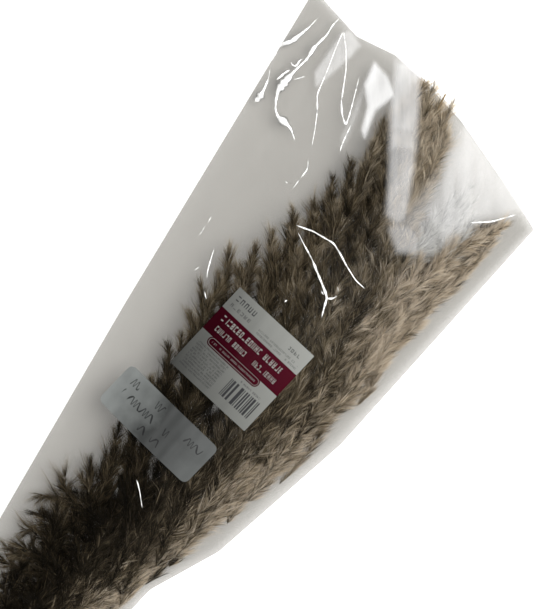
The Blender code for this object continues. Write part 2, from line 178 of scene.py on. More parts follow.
class GrassSettings(bpy.types.PropertyGroup):
    """Sizes and colours of the stems and their plumes."""
    tuft_length: FloatProperty(name="Tuft length", description="Length of one silky tuft",
                               default=0.0170, min=0.005, unit="LENGTH")
    hair_width: FloatProperty(name="Hair width", description="Width of one hair at its root",
                              default=0.00036, min=0.0001, unit="LENGTH")
    opening: FloatProperty(name="Opening", description="How far the tufts stand out from their branch",
                           default=math.radians(24), subtype="ANGLE")
    left_colour: FloatVectorProperty(name="Left plume", description="Colour of the left plume's hairs",
                                     default=(0.37, 0.290, 0.178), subtype="COLOR")
    middle_colour: FloatVectorProperty(name="Middle plume", subtype="COLOR", default=(0.52, 0.42, 0.28),
                                       description="Colour of the middle plume's hairs")
    right_colour: FloatVectorProperty(name="Right plume", description="Colour of the right plume's hairs",
                                      default=(0.78, 0.635, 0.445), subtype="COLOR")
    pale_colour: FloatVectorProperty(name="Pale tufts", subtype="COLOR", default=(0.86, 0.86, 0.83),
                                     description="Colour of the silvery tufts in the fork")
    culm_colour: FloatVectorProperty(name="Culm", description="Colour of the bare stems",
                                     default=(0.30, 0.22, 0.12), subtype="COLOR")


class FilmSettings(bpy.types.PropertyGroup):
    """The clear film's look."""
    # The tint is partly the film's own and partly painted shade that greys whatever lies under the film
    tint_and_shade: FloatVectorProperty(name="Tint", description="What one face of the film lets through",
                              default=(0.824, 0.820, 0.811), subtype="COLOR")
    roughness: FloatProperty(name="Roughness", description="Roughness of the film's gloss",
                             default=0.07, min=0.0, max=1.0, subtype="FACTOR")


class PaperSettings(bpy.types.PropertyGroup):
    """Colours and sizes of the label and the sticker."""
    label_size: FloatProperty(name="Label size", description="Width of the square label",
                              default=0.0748, unit="LENGTH")
    # The card is far darker than white card: painted shade for the dim light on the label
    card_colour: FloatVectorProperty(name="Card", description="The label's unprinted card",
                                     default=(0.212, 0.215, 0.200), subtype="COLOR")
    band_colour: FloatVectorProperty(name="Band", description="The label's crimson band",
                                     default=(0.042, 0.001, 0.006), subtype="COLOR")
    ink_colour: FloatVectorProperty(name="Ink", description="The label's bars and rules",
                                    default=(0.016, 0.016, 0.018), subtype="COLOR")
    # The sticker is far darker than white paper: painted shade for the dim light on it
    sticker_colour: FloatVectorProperty(name="Sticker", description="The sticker's paper",
                                        default=(0.124, 0.131, 0.127), subtype="COLOR")


class StageSettings(bpy.types.PropertyGroup):
    """Floor, light and camera."""
    floor_colour: FloatVectorProperty(name="Floor", description="Colour of the pale floor",
                                      default=(0.93, 0.93, 0.93), subtype="COLOR")
    key_power: FloatProperty(name="Key light", description="Power of the large soft light", default=116.0)
    camera_distance: FloatProperty(name="Camera distance", unit="LENGTH", default=3.0,
                                   description="Height of the camera over the floor")


# Modelling helpers

def deselect_all():
    """Leaves edit mode and deselects everything, because an operator acts on all that is selected."""
    if bpy.context.object and bpy.context.object.mode != "OBJECT":
        bpy.ops.object.mode_set(mode="OBJECT")
    bpy.ops.object.select_all(action="DESELECT")


def take(piece):
    """Makes a piece the only selected and active one."""
    deselect_all()
    piece.select_set(True)
    bpy.context.view_layer.objects.active = piece


def edit_all():
    """Enters edit mode on the active piece, with all of it selected."""
    bpy.ops.object.mode_set(mode="EDIT")
    bpy.ops.mesh.select_all(action="SELECT")


def positions(piece):
    """A mesh's vertices, as an (n, 3) array."""
    co = np.empty(len(piece.data.vertices) * 3, np.float32)
    piece.data.vertices.foreach_get("co", co)
    return co.reshape(-1, 3).astype(float)


def set_positions(piece, co):
    """Moves a mesh's vertices to the places of an (n, 3) array."""
    piece.data.vertices.foreach_set("co", np.asarray(co, np.float32).ravel())
    piece.data.update()


def apply_modifier(piece, kind, **settings):
    """Adds a modifier to a piece and applies it."""
    take(piece)
    modifier = piece.modifiers.new(kind.lower(), kind)
    for name, value in settings.items():
        setattr(modifier, name, value)
    bpy.ops.object.modifier_apply(modifier=modifier.name)


def settle(piece, node):
    """Leaves a finished piece at the origin, rides it on the bundle and lets it stand for its node."""
    take(piece)
    bpy.ops.object.transform_apply(location=True, rotation=True, scale=True)
    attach(piece, "root")
    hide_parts(node)
    deselect_all()


def new_mesh_piece(name, verts, faces, uvs=None):
    """A mesh from arrays: faces is a list of (n, k) index arrays, and uvs a (verts, 2) array."""
    mesh = bpy.data.meshes.new(name)
    loops = np.concatenate([part.ravel() for part in faces]).astype(np.int32)
    sizes = np.concatenate([np.full(len(part), part.shape[1]) for part in faces]).astype(np.int32)
    starts = np.concatenate([[0], np.cumsum(sizes)[:-1]]).astype(np.int32)
    mesh.vertices.add(len(verts))
    mesh.vertices.foreach_set("co", np.asarray(verts, np.float32).ravel())
    mesh.loops.add(len(loops))
    mesh.loops.foreach_set("vertex_index", loops)
    mesh.polygons.add(len(sizes))
    mesh.polygons.foreach_set("loop_start", starts)
    mesh.update(calc_edges=True)
    if uvs is not None:
        for layer_name in ("Strand", "OFBake"):
            layer = mesh.uv_layers.new(name=layer_name)
            layer.uv.foreach_set("vector", np.asarray(uvs, np.float32)[loops].ravel())
        mesh.uv_layers.active = mesh.uv_layers["Strand"]
    piece = bpy.data.objects.new(name, mesh)
    bpy.context.scene.collection.objects.link(piece)
    return piece


# Materials

class Nodes:
    """Short hand for building one material's node tree."""

    def __init__(self, name):
        self.material = bpy.data.materials.new(name)
        self.material.use_nodes = True
        self.tree = self.material.node_tree
        self.shader = self.tree.nodes["Principled BSDF"]
        self.output = self.tree.nodes["Material Output"]

    def add(self, kind, **values):
        node = self.tree.nodes.new(kind)
        for name, value in values.items():
            setattr(node, name, value)
        return node

    def link(self, source, target):
        self.tree.links.new(source, target)

    def math(self, operation, first, second=None, third=None):
        node = self.add("ShaderNodeMath", operation=operation)
        for socket, value in zip(node.inputs, (first, second, third)):
            if value is None:
                continue
            if isinstance(value, (int, float)):
                socket.default_value = value
            else:
                self.link(value, socket)
        return node.outputs[0]

    def mix(self, factor, first, second, blend="MIX"):
        node = self.add("ShaderNodeMix", data_type="RGBA", blend_type=blend)
        for socket, value in zip((node.inputs[0], node.inputs[6], node.inputs[7]), (factor, first, second)):
            if isinstance(value, (int, float)):
                socket.default_value = value
            elif isinstance(value, (tuple, list)):
                socket.default_value = tuple(value)[:3] + (1.0,)
            else:
                self.link(value, socket)
        return node.outputs[2]

    def ramp(self, factor, stops):
        node = self.add("ShaderNodeValToRGB")
        while len(node.color_ramp.elements) < len(stops):
            node.color_ramp.elements.new(1.0)
        for element, (place, colour) in zip(node.color_ramp.elements, stops):
            element.position = place
            shade = tuple(colour)[:3] if isinstance(colour, (tuple, list)) else (colour,) * 3
            element.color = (*shade, 1.0)
        self.link(factor, node.inputs[0])
        return node.outputs[0]

    def noise(self, scale, detail, vector=None):
        node = self.add("ShaderNodeTexNoise")
        node.inputs["Scale"].default_value = scale
        node.inputs["Detail"].default_value = detail
        self.link(vector if vector is not None else self.object_place(), node.inputs["Vector"])
        return node.outputs[0]

    def object_place(self):
        return self.add("ShaderNodeTexCoord").outputs["Object"]

    def set_shader(self, **values):
        """Sets the shader's own sockets, named with _ for each space."""
        for name, value in values.items():
            self.shader.inputs[name.replace("_", " ")].default_value = value


LIGHTEST = 0.96


def scaled(colour, factor):
    """A colour made lighter or darker, never past what real stuff reflects."""
    factor = min(factor, LIGHTEST / max(colour))
    return tuple(channel * factor for channel in colour)


# How light a hair is by its tone, as (tone, share of its colour): shares over 1 are of a greyer colour.
HAIR_TONES = ((0.0, 0.03), (0.30, 0.30), (0.60, 1.0), (0.84, 1.9), (1.0, 2.8))
GREYING = 0.38


def hair_material(name, colour, root):
    """Silky hairs: dark at the root as painted shade inside the tuft, pale at the tip, each with its own tone
    from its place on the map.
    """
    nodes = Nodes(name)
    uv = nodes.add("ShaderNodeUVMap", uv_map="Strand").outputs[0]
    split = nodes.add("ShaderNodeSeparateXYZ")
    nodes.link(uv, split.inputs[0])
    tone, along = split.outputs[0], split.outputs[1]
    grey = sum(colour) / 3
    pale = tuple(GREYING * grey + (1 - GREYING) * channel for channel in colour)
    toned = nodes.ramp(tone, [(place, scaled(pale if share > 1 else colour, share))
                              for place, share in HAIR_TONES])
    # Painted shade: each hair darkens towards its root, deep in its tuft
    rise = nodes.ramp(along, ((0.0, root), (0.40, 4 * root), (0.75, 0.7 + root), (1.0, 1.0)))
    final = nodes.mix(1.0, toned, rise, "MULTIPLY")
    nodes.link(final, nodes.shader.inputs["Base Color"])
    nodes.set_shader(Roughness=0.55, Specular_IOR_Level=0.07)
    return nodes.material


FIBRE_SCALE = (900.0, 18.0, 900.0)
CULM_SHADES = ((0.25, 0.55), (0.60, 1.0), (0.85, 1.5))


def culm_material(settings):
    """Dry straw with fibres along it and darker patches."""
    nodes = Nodes("dry_culm")
    place = nodes.object_place()
    stretch = nodes.add("ShaderNodeMapping")
    stretch.inputs["Scale"].default_value = FIBRE_SCALE
    nodes.link(place, stretch.inputs["Vector"])
    fibres = nodes.noise(1.0, 4.0, stretch.outputs[0])
    patches = nodes.noise(35.0, 3.0, place)
    colour = nodes.ramp(fibres, [(place, scaled(settings.culm_colour, share))
                                 for place, share in CULM_SHADES])
    colour = nodes.mix(nodes.math("MULTIPLY", patches, 0.5), colour, scaled(settings.culm_colour, 0.6))
    nodes.link(colour, nodes.shader.inputs["Base Color"])
    nodes.set_shader(Roughness=0.5)
    bump = nodes.add("ShaderNodeBump")
    bump.inputs["Strength"].default_value = 0.25
    bump.inputs["Distance"].default_value = 0.0003
    nodes.link(fibres, bump.inputs["Height"])
    nodes.link(bump.outputs[0], nodes.shader.inputs["Normal"])
    return nodes.material


RIM_TINT = 0.86
# Streaks that break up the film's painted glare
GLARE_STREAK_TURN = math.radians(37)
GLARE_STREAK_SIZE = (0.006, 0.055, 0.05)

# What share of the light the film mirrors seen straight on, and what more it mirrors seen edge on
MIRRORED = 0.0007
MIRRORED_EDGE_ON = 0.3


def film_material(settings):
    """Clear film: lets most light through, mirrors a little, and whitens with painted glare where its
    attribute says.
    """
    nodes = Nodes("clear_film")
    # The attribute marks where the film carries painted glare
    painted_glare = nodes.add("ShaderNodeAttribute", attribute_name="painted_glare").outputs["Fac"]
    place = nodes.object_place()
    cloud = nodes.noise(9.0, 4.0, place)
    clear = nodes.add("ShaderNodeBsdfTransparent")
    # The tint is partly the film's own and partly painted shade
    tint_and_shade = nodes.mix(cloud, scaled(settings.tint_and_shade, 0.99), scaled(settings.tint_and_shade, 1.015))
    rim = nodes.add("ShaderNodeAttribute", attribute_name="rim").outputs["Fac"]
    tint_and_shade = nodes.mix(rim, tint_and_shade, scaled(settings.tint_and_shade, RIM_TINT))
    nodes.link(tint_and_shade, clear.inputs["Color"])
    # This white shader is the painted glare of facets that mirror the light
    nodes.set_shader(Base_Color=(0.93, 0.93, 0.93, 1.0), Roughness=0.35)
    streaks = nodes.add("ShaderNodeMapping", vector_type="TEXTURE")
    streaks.inputs["Rotation"].default_value = (0.0, 0.0, GLARE_STREAK_TURN)
    streaks.inputs["Scale"].default_value = GLARE_STREAK_SIZE
    nodes.link(place, streaks.inputs["Vector"])
    broken = nodes.math("MULTIPLY_ADD", nodes.noise(1.0, 4.0, streaks.outputs[0]), 0.9, 0.55)
    body = nodes.add("ShaderNodeMixShader")
    nodes.link(nodes.math("MULTIPLY", painted_glare, broken), body.inputs[0])
    nodes.link(clear.outputs[0], body.inputs[1])
    nodes.link(nodes.shader.outputs[0], body.inputs[2])
    gloss = nodes.add("ShaderNodeBsdfGlossy")
    gloss.inputs["Color"].default_value = (1.0, 1.0, 1.0, 1.0)
    gloss.inputs["Roughness"].default_value = settings.roughness
    slant = nodes.add("ShaderNodeLayerWeight").outputs["Facing"]
    mirrored = nodes.math("MULTIPLY_ADD", nodes.math("POWER", slant, 5.0), MIRRORED_EDGE_ON, MIRRORED)
    final = nodes.add("ShaderNodeMixShader")
    nodes.link(mirrored, final.inputs[0])
    nodes.link(body.outputs[0], final.inputs[1])
    nodes.link(gloss.outputs[0], final.inputs[2])
    nodes.link(final.outputs[0], nodes.output.inputs["Surface"])
    return nodes.material


def crease_highlight_material():
    """Painted highlights on the film's creases: white with a slight painted glow along the middle, and fading
    to their sides.
    """
    nodes = Nodes("painted_crease_highlight")
    # The white colour and the emission are the painted highlight and its glow
    nodes.set_shader(Base_Color=(0.95, 0.95, 0.93, 1.0), Roughness=0.15, Coat_Weight=0.5,
                     Emission_Color=(1.0, 1.0, 0.95, 1.0), Emission_Strength=0.22)
    core = nodes.add("ShaderNodeAttribute", attribute_name="core").outputs["Fac"]
    broken = nodes.ramp(nodes.noise(210.0, 3.0), ((0.34, 0.25), (0.56, 1.0)))
    shown = nodes.math("MULTIPLY", nodes.ramp(core, ((0.05, 0.0), (0.60, 1.0))), broken)
    clear = nodes.add("ShaderNodeBsdfTransparent")
    final = nodes.add("ShaderNodeMixShader")
    nodes.link(shown, final.inputs[0])
    nodes.link(clear.outputs[0], final.inputs[1])
    nodes.link(nodes.shader.outputs[0], final.inputs[2])
    nodes.link(final.outputs[0], nodes.output.inputs["Surface"])
    return nodes.material


def uv_mask(nodes, x, y, box):
    """1 inside a box (left, right, bottom, top) of a paper's own map, else 0."""
    inside = nodes.math("GREATER_THAN", x, box[0])
    limits = (("LESS_THAN", x, box[1]), ("GREATER_THAN", y, box[2]), ("LESS_THAN", y, box[3]))
    for operation, value, limit in limits:
        inside = nodes.math("MULTIPLY", inside, nodes.math(operation, value, limit))
    return inside


def cell_noise(nodes, x, y, seed):
    """Four random numbers from 0 to 1 for each whole-numbered cell."""
    cell = nodes.add("ShaderNodeCombineXYZ")
    nodes.link(nodes.math("FLOOR", x), cell.inputs[0])
    nodes.link(nodes.math("FLOOR", y), cell.inputs[1])
    cell.inputs[2].default_value = seed
    white = nodes.add("ShaderNodeTexWhiteNoise", noise_dimensions="3D")
    nodes.link(cell.outputs[0], white.inputs["Vector"])
    split = nodes.add("ShaderNodeSeparateColor")
    nodes.link(white.outputs["Color"], split.inputs[0])
    return split.outputs[0], split.outputs[1], split.outputs[2], white.outputs["Value"]


# The strokes that a mark can have, as (chance that it lacks this one, box in the mark's cell)
STROKES = ((0.30, (0.05, 0.23, 0.24, 0.80)), (0.40, (0.52, 0.70, 0.24, 0.80)),
           (0.45, (0.05, 0.70, 0.68, 0.80)), (0.60, (0.05, 0.70, 0.47, 0.58)),
           (0.35, (0.05, 0.70, 0.24, 0.36)))
GAP_CHANCE = 0.14


def printed_marks(nodes, x, y, box, rows, marks_across, seed):
    """Rows of marks made of random strokes, many of which happen to look like a letter or a digit.

    They spell nothing. marks_across is how many of them fit across the whole label.
    """
    up = nodes.math("MULTIPLY", nodes.math("SUBTRACT", y, box[2]), rows / (box[3] - box[2]))
    across = nodes.math("MULTIPLY", x, marks_across)
    first, second, third, whole = cell_noise(nodes, across, up, seed)
    u, v = nodes.math("FRACT", across), nodes.math("FRACT", up)
    inked = 0.0
    numbers = (first, second, third, whole, nodes.math("SUBTRACT", 1.0, second))
    for number, (lacking, part) in zip(numbers, STROKES):
        there = nodes.math("GREATER_THAN", number, lacking)
        inked = nodes.math("MAXIMUM", inked, nodes.math("MULTIPLY", there, uv_mask(nodes, u, v, part)))
    inked = nodes.math("MULTIPLY", inked, nodes.math("GREATER_THAN", whole, GAP_CHANCE))
    return nodes.math("MULTIPLY", inked, uv_mask(nodes, x, y, box))


def pill_distance(nodes, x, y, left, right, middle):
    """Distance from a level line on the label, in widths of the label."""
    beyond = nodes.math("MAXIMUM", nodes.math("SUBTRACT", left, x), nodes.math("SUBTRACT", x, right))
    beyond = nodes.math("MAXIMUM", beyond, 0.0)
    off = nodes.math("SUBTRACT", y, middle)
    squares = nodes.math("ADD", nodes.math("MULTIPLY", beyond, beyond), nodes.math("MULTIPLY", off, off))
    return nodes.math("SQRT", squares)


# The label's print on a map from 0 to 1 each way. Boxes are (left, right, bottom, top), and each group of
# marks is (box, rows, marks across the whole label, seed, strength).
CARD_MARKS = (((0.05, 0.33, 0.855, 0.955), 1, 19, 3.0, 0.85), ((0.05, 0.31, 0.785, 0.850), 1, 22, 4.0, 0.60),
              ((0.42, 0.95, 0.765, 0.840), 2, 52, 8.0, 0.60), ((0.76, 0.93, 0.860, 0.925), 1, 24, 9.0, 0.75),
              ((0.06, 0.46, 0.055, 0.360), 10, 66, 7.0, 0.75), ((0.62, 0.90, 0.315, 0.350), 1, 50, 6.0, 0.80))
BAND_MARKS = (((0.07, 0.86, 0.610, 0.725), 1, 25, 5.0, 0.85), ((0.10, 0.93, 0.500, 0.600), 1, 30, 5.5, 0.75),
              ((0.17, 0.74, 0.407, 0.443), 1, 62, 6.5, 0.50))
BAND_BOX = (-1.0, 2.0, 0.465, 0.745)
TAB_LINE = (0.17, 0.74, 0.425)
TAB_RADIUS = 0.052
TAB_RIM = (0.034, 0.040)
BARS_BOX = (0.53, 0.93, 0.10, 0.30)
BARS_ACROSS = 120
BAR_LIMIT = 0.48

# Painted shade: the label's card and band are darkest at its lower left corner and lighten by these shares to
# the right and up.
SHADE_RIGHT = 0.51
SHADE_UP = 0.44
SHADE_START = 0.05
DARKEST_PAINTED_SHADE = 0.12


def label_material(settings):
    """Coated card with a crimson band, a rounded tab, rows of random marks, a block of random bars and
    painted shade.
    """
    nodes = Nodes("printed_card")
    split = nodes.add("ShaderNodeSeparateXYZ")
    nodes.link(nodes.add("ShaderNodeUVMap", uv_map="Face").outputs[0], split.inputs[0])
    x, y = split.outputs[0], split.outputs[1]
    ink, band, white = tuple(settings.ink_colour), tuple(settings.band_colour), tuple(settings.card_colour)
    mottle = nodes.noise(60.0, 4.0)
    card = nodes.mix(nodes.math("MULTIPLY", mottle, 0.35), white, scaled(white, 0.80))
    # Painted shade for the card and the band, darkest at the lower left corner
    painted_shade = nodes.math("MULTIPLY_ADD", y, SHADE_UP, SHADE_START)
    painted_shade = nodes.math("MULTIPLY_ADD", x, SHADE_RIGHT, painted_shade)
    colour = nodes.mix(painted_shade, scaled(white, DARKEST_PAINTED_SHADE), card)
    for box, rows, marks_across, seed, strength in CARD_MARKS:
        marks = printed_marks(nodes, x, y, box, rows, marks_across, seed)
        colour = nodes.mix(nodes.math("MULTIPLY", marks, strength), colour, ink)
    tab = pill_distance(nodes, x, y, *TAB_LINE)
    stripe = nodes.math("MAXIMUM", uv_mask(nodes, x, y, BAND_BOX), nodes.math("LESS_THAN", tab, TAB_RADIUS))
    colour = nodes.mix(stripe, colour, nodes.mix(painted_shade, scaled(band, DARKEST_PAINTED_SHADE), band))
    above = nodes.math("GREATER_THAN", tab, TAB_RIM[0])
    rim = nodes.math("MULTIPLY", nodes.math("LESS_THAN", tab, TAB_RIM[1]), above)
    colour = nodes.mix(nodes.math("MULTIPLY", rim, 0.5), colour, scaled(white, 0.9))
    for box, rows, marks_across, seed, strength in BAND_MARKS:
        marks = printed_marks(nodes, x, y, box, rows, marks_across, seed)
        colour = nodes.mix(nodes.math("MULTIPLY", marks, strength), colour, scaled(white, 0.95))
    bar = cell_noise(nodes, nodes.math("MULTIPLY", x, BARS_ACROSS), 0.0, 2.0)[3]
    bars = nodes.math("MULTIPLY", nodes.math("GREATER_THAN", bar, BAR_LIMIT), uv_mask(nodes, x, y, BARS_BOX))
    colour = nodes.mix(nodes.math("MULTIPLY", bars, 0.92), colour, ink)
    nodes.link(colour, nodes.shader.inputs["Base Color"])
    nodes.set_shader(Roughness=0.42, Specular_IOR_Level=0.02)
    return nodes.material


# The sticker's height by its width, half a pen line's width on its map, and the lines as (start, end, middle,
# height, waves across the sticker)
PAPER_RATIO = 0.41
PEN_WIDTH = 0.010
PEN_LINES = ((0.10, 0.46, 0.77, 0.075, 20), (0.10, 0.62, 0.48, 0.070, 22), (0.40, 0.62, 0.20, 0.065, 21),
             (0.74, 0.92, 0.68, 0.065, 20))
PEN_BREAKS = 0.3
# How light the sticker is along it, as (place, share of its colour): painted highlights towards its ends and
# painted shade in its middle
STICKER_PAINTED_LIGHT = ((0.02, 1.5), (0.22, 0.95), (0.48, 0.23), (0.68, 0.25), (0.84, 0.36), (0.98, 0.50))


def pen_line(nodes, u, v, start, end, middle, height, waves):
    """A meaningless wavy pen line on the sticker, broken here and there."""
    phase = nodes.math("MULTIPLY", u, waves * 2 * math.pi)
    phase = nodes.math("MULTIPLY_ADD", nodes.math("SINE", nodes.math("MULTIPLY", phase, 0.37)), 1.6, phase)
    off = nodes.math("SUBTRACT", v, nodes.math("MULTIPLY_ADD", nodes.math("SINE", phase), height, middle))
    slope = nodes.math("MULTIPLY", nodes.math("COSINE", phase), height * waves * 2 * math.pi * PAPER_RATIO)
    slant = nodes.math("SQRT", nodes.math("MULTIPLY_ADD", slope, slope, 1.0))
    near = nodes.math("DIVIDE", nodes.math("ABSOLUTE", off), slant)
    piece = cell_noise(nodes, nodes.math("MULTIPLY", u, waves * 0.8), 0.0, middle)[0]
    unbroken = nodes.math("GREATER_THAN", piece, PEN_BREAKS)
    inked = nodes.math("MULTIPLY", nodes.math("LESS_THAN", near, PEN_WIDTH), unbroken)
    return nodes.math("MULTIPLY", inked, uv_mask(nodes, u, v, (start, end, 0.0, 1.0)))


def sticker_material(settings):
    """Dull paper, lightest at its left end as a painted highlight and darkest in its middle as painted shade,
    with meaningless pen lines.
    """
    nodes = Nodes("sticker_paper")
    split = nodes.add("ShaderNodeSeparateXYZ")
    nodes.link(nodes.add("ShaderNodeUVMap", uv_map="Face").outputs[0], split.inputs[0])
    u, v = split.outputs[0], split.outputs[1]
    mottle = nodes.noise(38.0, 4.0)
    wander = nodes.math("MULTIPLY_ADD", nodes.math("SUBTRACT", mottle, 0.5), 0.5, u)
    colour = nodes.ramp(wander, [(place, scaled(settings.sticker_colour, share))
                                 for place, share in STICKER_PAINTED_LIGHT])
    for line in PEN_LINES:
        inked = pen_line(nodes, u, v, *line)
        colour = nodes.mix(nodes.math("MULTIPLY", inked, 0.85), colour, scaled(settings.ink_colour, 0.2))
    nodes.link(colour, nodes.shader.inputs["Base Color"])
    nodes.set_shader(Roughness=0.5, Specular_IOR_Level=0.2)
    bump = nodes.add("ShaderNodeBump")
    bump.inputs["Strength"].default_value = 0.1
    bump.inputs["Distance"].default_value = 0.0001
    nodes.link(nodes.noise(900.0, 2.0), bump.inputs["Height"])
    nodes.link(bump.outputs[0], nodes.shader.inputs["Normal"])
    return nodes.material


def floor_material(settings):
    """A pale floor that glows a little, so that it stays white next to the bundle."""
    nodes = Nodes("pale_floor")
    mottle = nodes.noise(3.0, 2.0)
    colour = nodes.mix(nodes.math("MULTIPLY", mottle, 0.2), tuple(settings.floor_colour),
                       scaled(settings.floor_colour, 0.97))
    nodes.link(colour, nodes.shader.inputs["Base Color"])
    nodes.set_shader(Roughness=0.9, Specular_IOR_Level=0.1, Emission_Color=(1.0, 1.0, 1.0, 1.0),
                     Emission_Strength=0.30)
    return nodes.material


# Stems

AXIS_SHARE = 0.42
CULM_SIDES = 12
CULM_STEP = 0.006
AXIS_SETBACK = 0.006
CULM_JOINTS = {"left": (-0.262,), "middle": (-0.290, -0.178), "right": (-0.235,)}
JOINT_SWELLING = 0.0005
JOINT_LENGTH = 0.0035
CULM_SHARE = 0.92
CUT_RIM = 0.0007
CUT_DEPTH = 0.003


def stem_axis(stem, y):
    """The middle of a stem at places along it, as an (n, 3) array."""
    y = np.atleast_1d(np.asarray(y, float))
    x = smooth_at(STEM_LINES[stem], y)
    low = floor(x, y)
    height = np.maximum(REST_GAP + CULM_RADIUS, AXIS_SHARE * (ceiling(x, y) - low))
    return np.stack((x, y, low + height), 1)


def culm_radius(stem, y):
    """The stem's radius, thinning through the plume, with a low swelling at each joint."""
    foot = PLUMES[stem]["foot"]
    tip = STEM_LINES[stem][-1][0]
    thinning = min(1.0, max(0.0, (y - foot) / (tip - foot)))
    radius = CULM_RADIUS * CULM_SHARE + (RACHIS_TIP_RADIUS - CULM_RADIUS * CULM_SHARE) * thinning
    for joint in CULM_JOINTS[stem]:
        radius += JOINT_SWELLING * math.exp(-((y - joint) / JOINT_LENGTH) ** 2)
    return radius


def grow_culm(stem):
    """Extrudes a disc step by step along the stem, and hollows its cut end."""
    cut_y = STEM_LINES[stem][0][0]
    tip_y = STEM_LINES[stem][-1][0] - AXIS_SETBACK
    count = int((tip_y - cut_y) / CULM_STEP)
    places = stem_axis(stem, np.linspace(cut_y, tip_y, count + 1))
    deselect_all()
    bpy.ops.mesh.primitive_circle_add(vertices=CULM_SIDES, radius=culm_radius(stem, cut_y),
                                      fill_type="NGON", location=places[0], rotation=(-math.pi / 2, 0, 0))
    piece = bpy.context.object
    piece.name = stem + "_culm"
    bpy.ops.object.transform_apply(location=True, rotation=True, scale=True)
    edit_all()
    for before, after in zip(places, places[1:]):
        ratio = culm_radius(stem, after[1]) / culm_radius(stem, before[1])
        bpy.ops.mesh.extrude_region_move(TRANSFORM_OT_translate={"value": tuple(after - before)})
        bpy.ops.transform.resize(value=(ratio, 1.0, ratio), center_override=tuple(after))
    bpy.ops.object.mode_set(mode="OBJECT")
    cut = [face for face in piece.data.polygons if len(face.vertices) > 4]
    start = min(cut, key=lambda face: face.center.y)
    for face in piece.data.polygons:
        face.select = face == start
    bpy.ops.object.mode_set(mode="EDIT")
    bpy.ops.mesh.select_mode(type="FACE")
    bpy.ops.mesh.inset(thickness=CUT_RIM)
    bpy.ops.mesh.extrude_region_move(TRANSFORM_OT_translate={"value": (0, CUT_DEPTH, 0)})
    bpy.ops.mesh.select_all(action="SELECT")
    bpy.ops.mesh.normals_make_consistent(inside=False)
    bpy.ops.object.mode_set(mode="OBJECT")
    bpy.ops.object.shade_smooth_by_angle(angle=math.radians(50))
    return piece


# Plumes

# Each tuft has a few bent hairs, in a lock and around it, and many fine straight ones.
BENT_HAIRS = 9
LOCKED_HAIRS = 4
FINE_HAIRS = 20
TUFT_KINDS = 10


def model_hair():
    """One flat hair a unit long and wide, drawn to a point: a plane whose far edge is extruded and merged."""
    deselect_all()
    bpy.ops.mesh.primitive_plane_add(size=1.0)
    hair = bpy.context.object
    hair.name = "hair"
    edit_all()
    bpy.ops.transform.resize(value=(1.0, 0.5, 1.0))
    bpy.ops.transform.translate(value=(0.0, 0.25, 0.0))
    bpy.ops.mesh.select_all(action="DESELECT")
    bpy.ops.object.mode_set(mode="OBJECT")
    for edge in hair.data.edges:
        edge.select = all(hair.data.vertices[i].co.y > 0.4 for i in edge.vertices)
    bpy.ops.object.mode_set(mode="EDIT")
    bpy.ops.mesh.select_mode(type="EDGE")
    bpy.ops.transform.resize(value=(0.8, 1.0, 1.0))
    bpy.ops.mesh.extrude_region_move(TRANSFORM_OT_translate={"value": (0.0, 0.5, 0.0)})
    bpy.ops.mesh.merge(type="CENTER")
    bpy.ops.object.mode_set(mode="OBJECT")
    co = positions(hair)
    faces = [list(face.vertices) for face in hair.data.polygons]
    mesh = hair.data
    bpy.data.objects.remove(hair)
    bpy.data.meshes.remove(mesh)
    quad = next(face for face in faces if len(face) == 4)
    point = next(face for face in faces if len(face) == 3)
    return co, np.array(quad), np.array(point)


def model_tufts(hair, count, locked, rng):
    """A few kinds of tuft of count hairs along +Y from the origin, a unit long, the first in a lock."""
    tufts = []
    along = hair[:, 1:2]
    for _ in range(TUFT_KINDS):
        brush = []
        for i in range(count):
            stray = i >= locked
            length = rng.uniform(0.50, 1.0) if stray else rng.uniform(0.78, 1.0)
            roll, turn = rng.uniform(0, math.pi), rng.uniform(0, 2 * math.pi)
            wide = np.array((math.cos(roll), 0.0, math.sin(roll)))
            away = np.array((math.cos(turn), 0.0, math.sin(turn)))
            bend = rng.uniform(0.05, 0.40) if stray else rng.uniform(0.02, 0.12)
            root = rng.uniform(0.0, 0.22)
            line = (root + along * length) * (0.0, 1.0, 0.0) + along * bend * away
            brush.append(line + hair[:, :1] * wide)
        tufts.append(np.array(brush))
    return np.array(tufts)


def unit(vectors):
    """Vectors brought to a length of 1."""
    return vectors / np.maximum(np.linalg.norm(vectors, axis=-1, keepdims=True), 1e-9)


def room_point(plume, y, across, up):
    """A point of a plume's room at y, with across and up from -1 to 1."""
    left, right = at(plume["left"], y), at(plume["right"], y)
    x = left + (right - left) * (across + 1) / 2
    low, high = floor(x, y) + 0.002, ceiling(x, y) - 0.002
    return np.stack((x, y, low + (np.maximum(high, low) - low) * (up + 1) / 2), -1)


# How many side branches each plume has, and how many knots with tufts each branch has
RACEMES = {"left": 150, "middle": 128, "right": 122}
NODES_PER_RACEME = 14
TUFTS_PER_NODE = 3
PALE_TUFTS_PER_NODE = 2
RACEME_LENGTH = 0.044
RACEME_LENGTHS = (0.75, 1.25)
RACEME_RISE = 0.007
RACEME_SWAY = 0.0012
SURFACE_SHARE = 0.58
SURFACE_UP = 0.80
DEEPEST_UP = -0.90
ACROSS_SHARE = 0.90
FOOT_SPACE = 0.030
LEAST_WIDTH = 0.012
SCATTER_ALONG = 0.003
GOLDEN_RATIO = 0.6180340
PLASTIC_RATIO = 0.7548777

# How far the racemes' tips turn to the left of the stems, as (y, degrees), how much that differs, and how
# much more it differs and turns among the unruly ones at the left plume's foot
LEAN = {
    "left": ((-0.20, 72), (-0.08, 60), (0.02, 40), (0.20, 34), (0.34, 24)),
    "middle": ((-0.15, 6), (0.00, 16), (0.15, 28), (0.26, 26), (0.33, 12), (0.38, 6)),
    "right": ((-0.15, -6), (0.10, -3), (0.33, -8)),
}
LEAN_SPREAD = 11
UNRULY_SPREAD = 22
UNRULY_LEAN = 70
UNRULY_Y = 0.01
UNRULY_FADE = 0.08
RIGHT_SPLAY = 10
PALE_LEAN = 4
PALE_SPREAD = 8
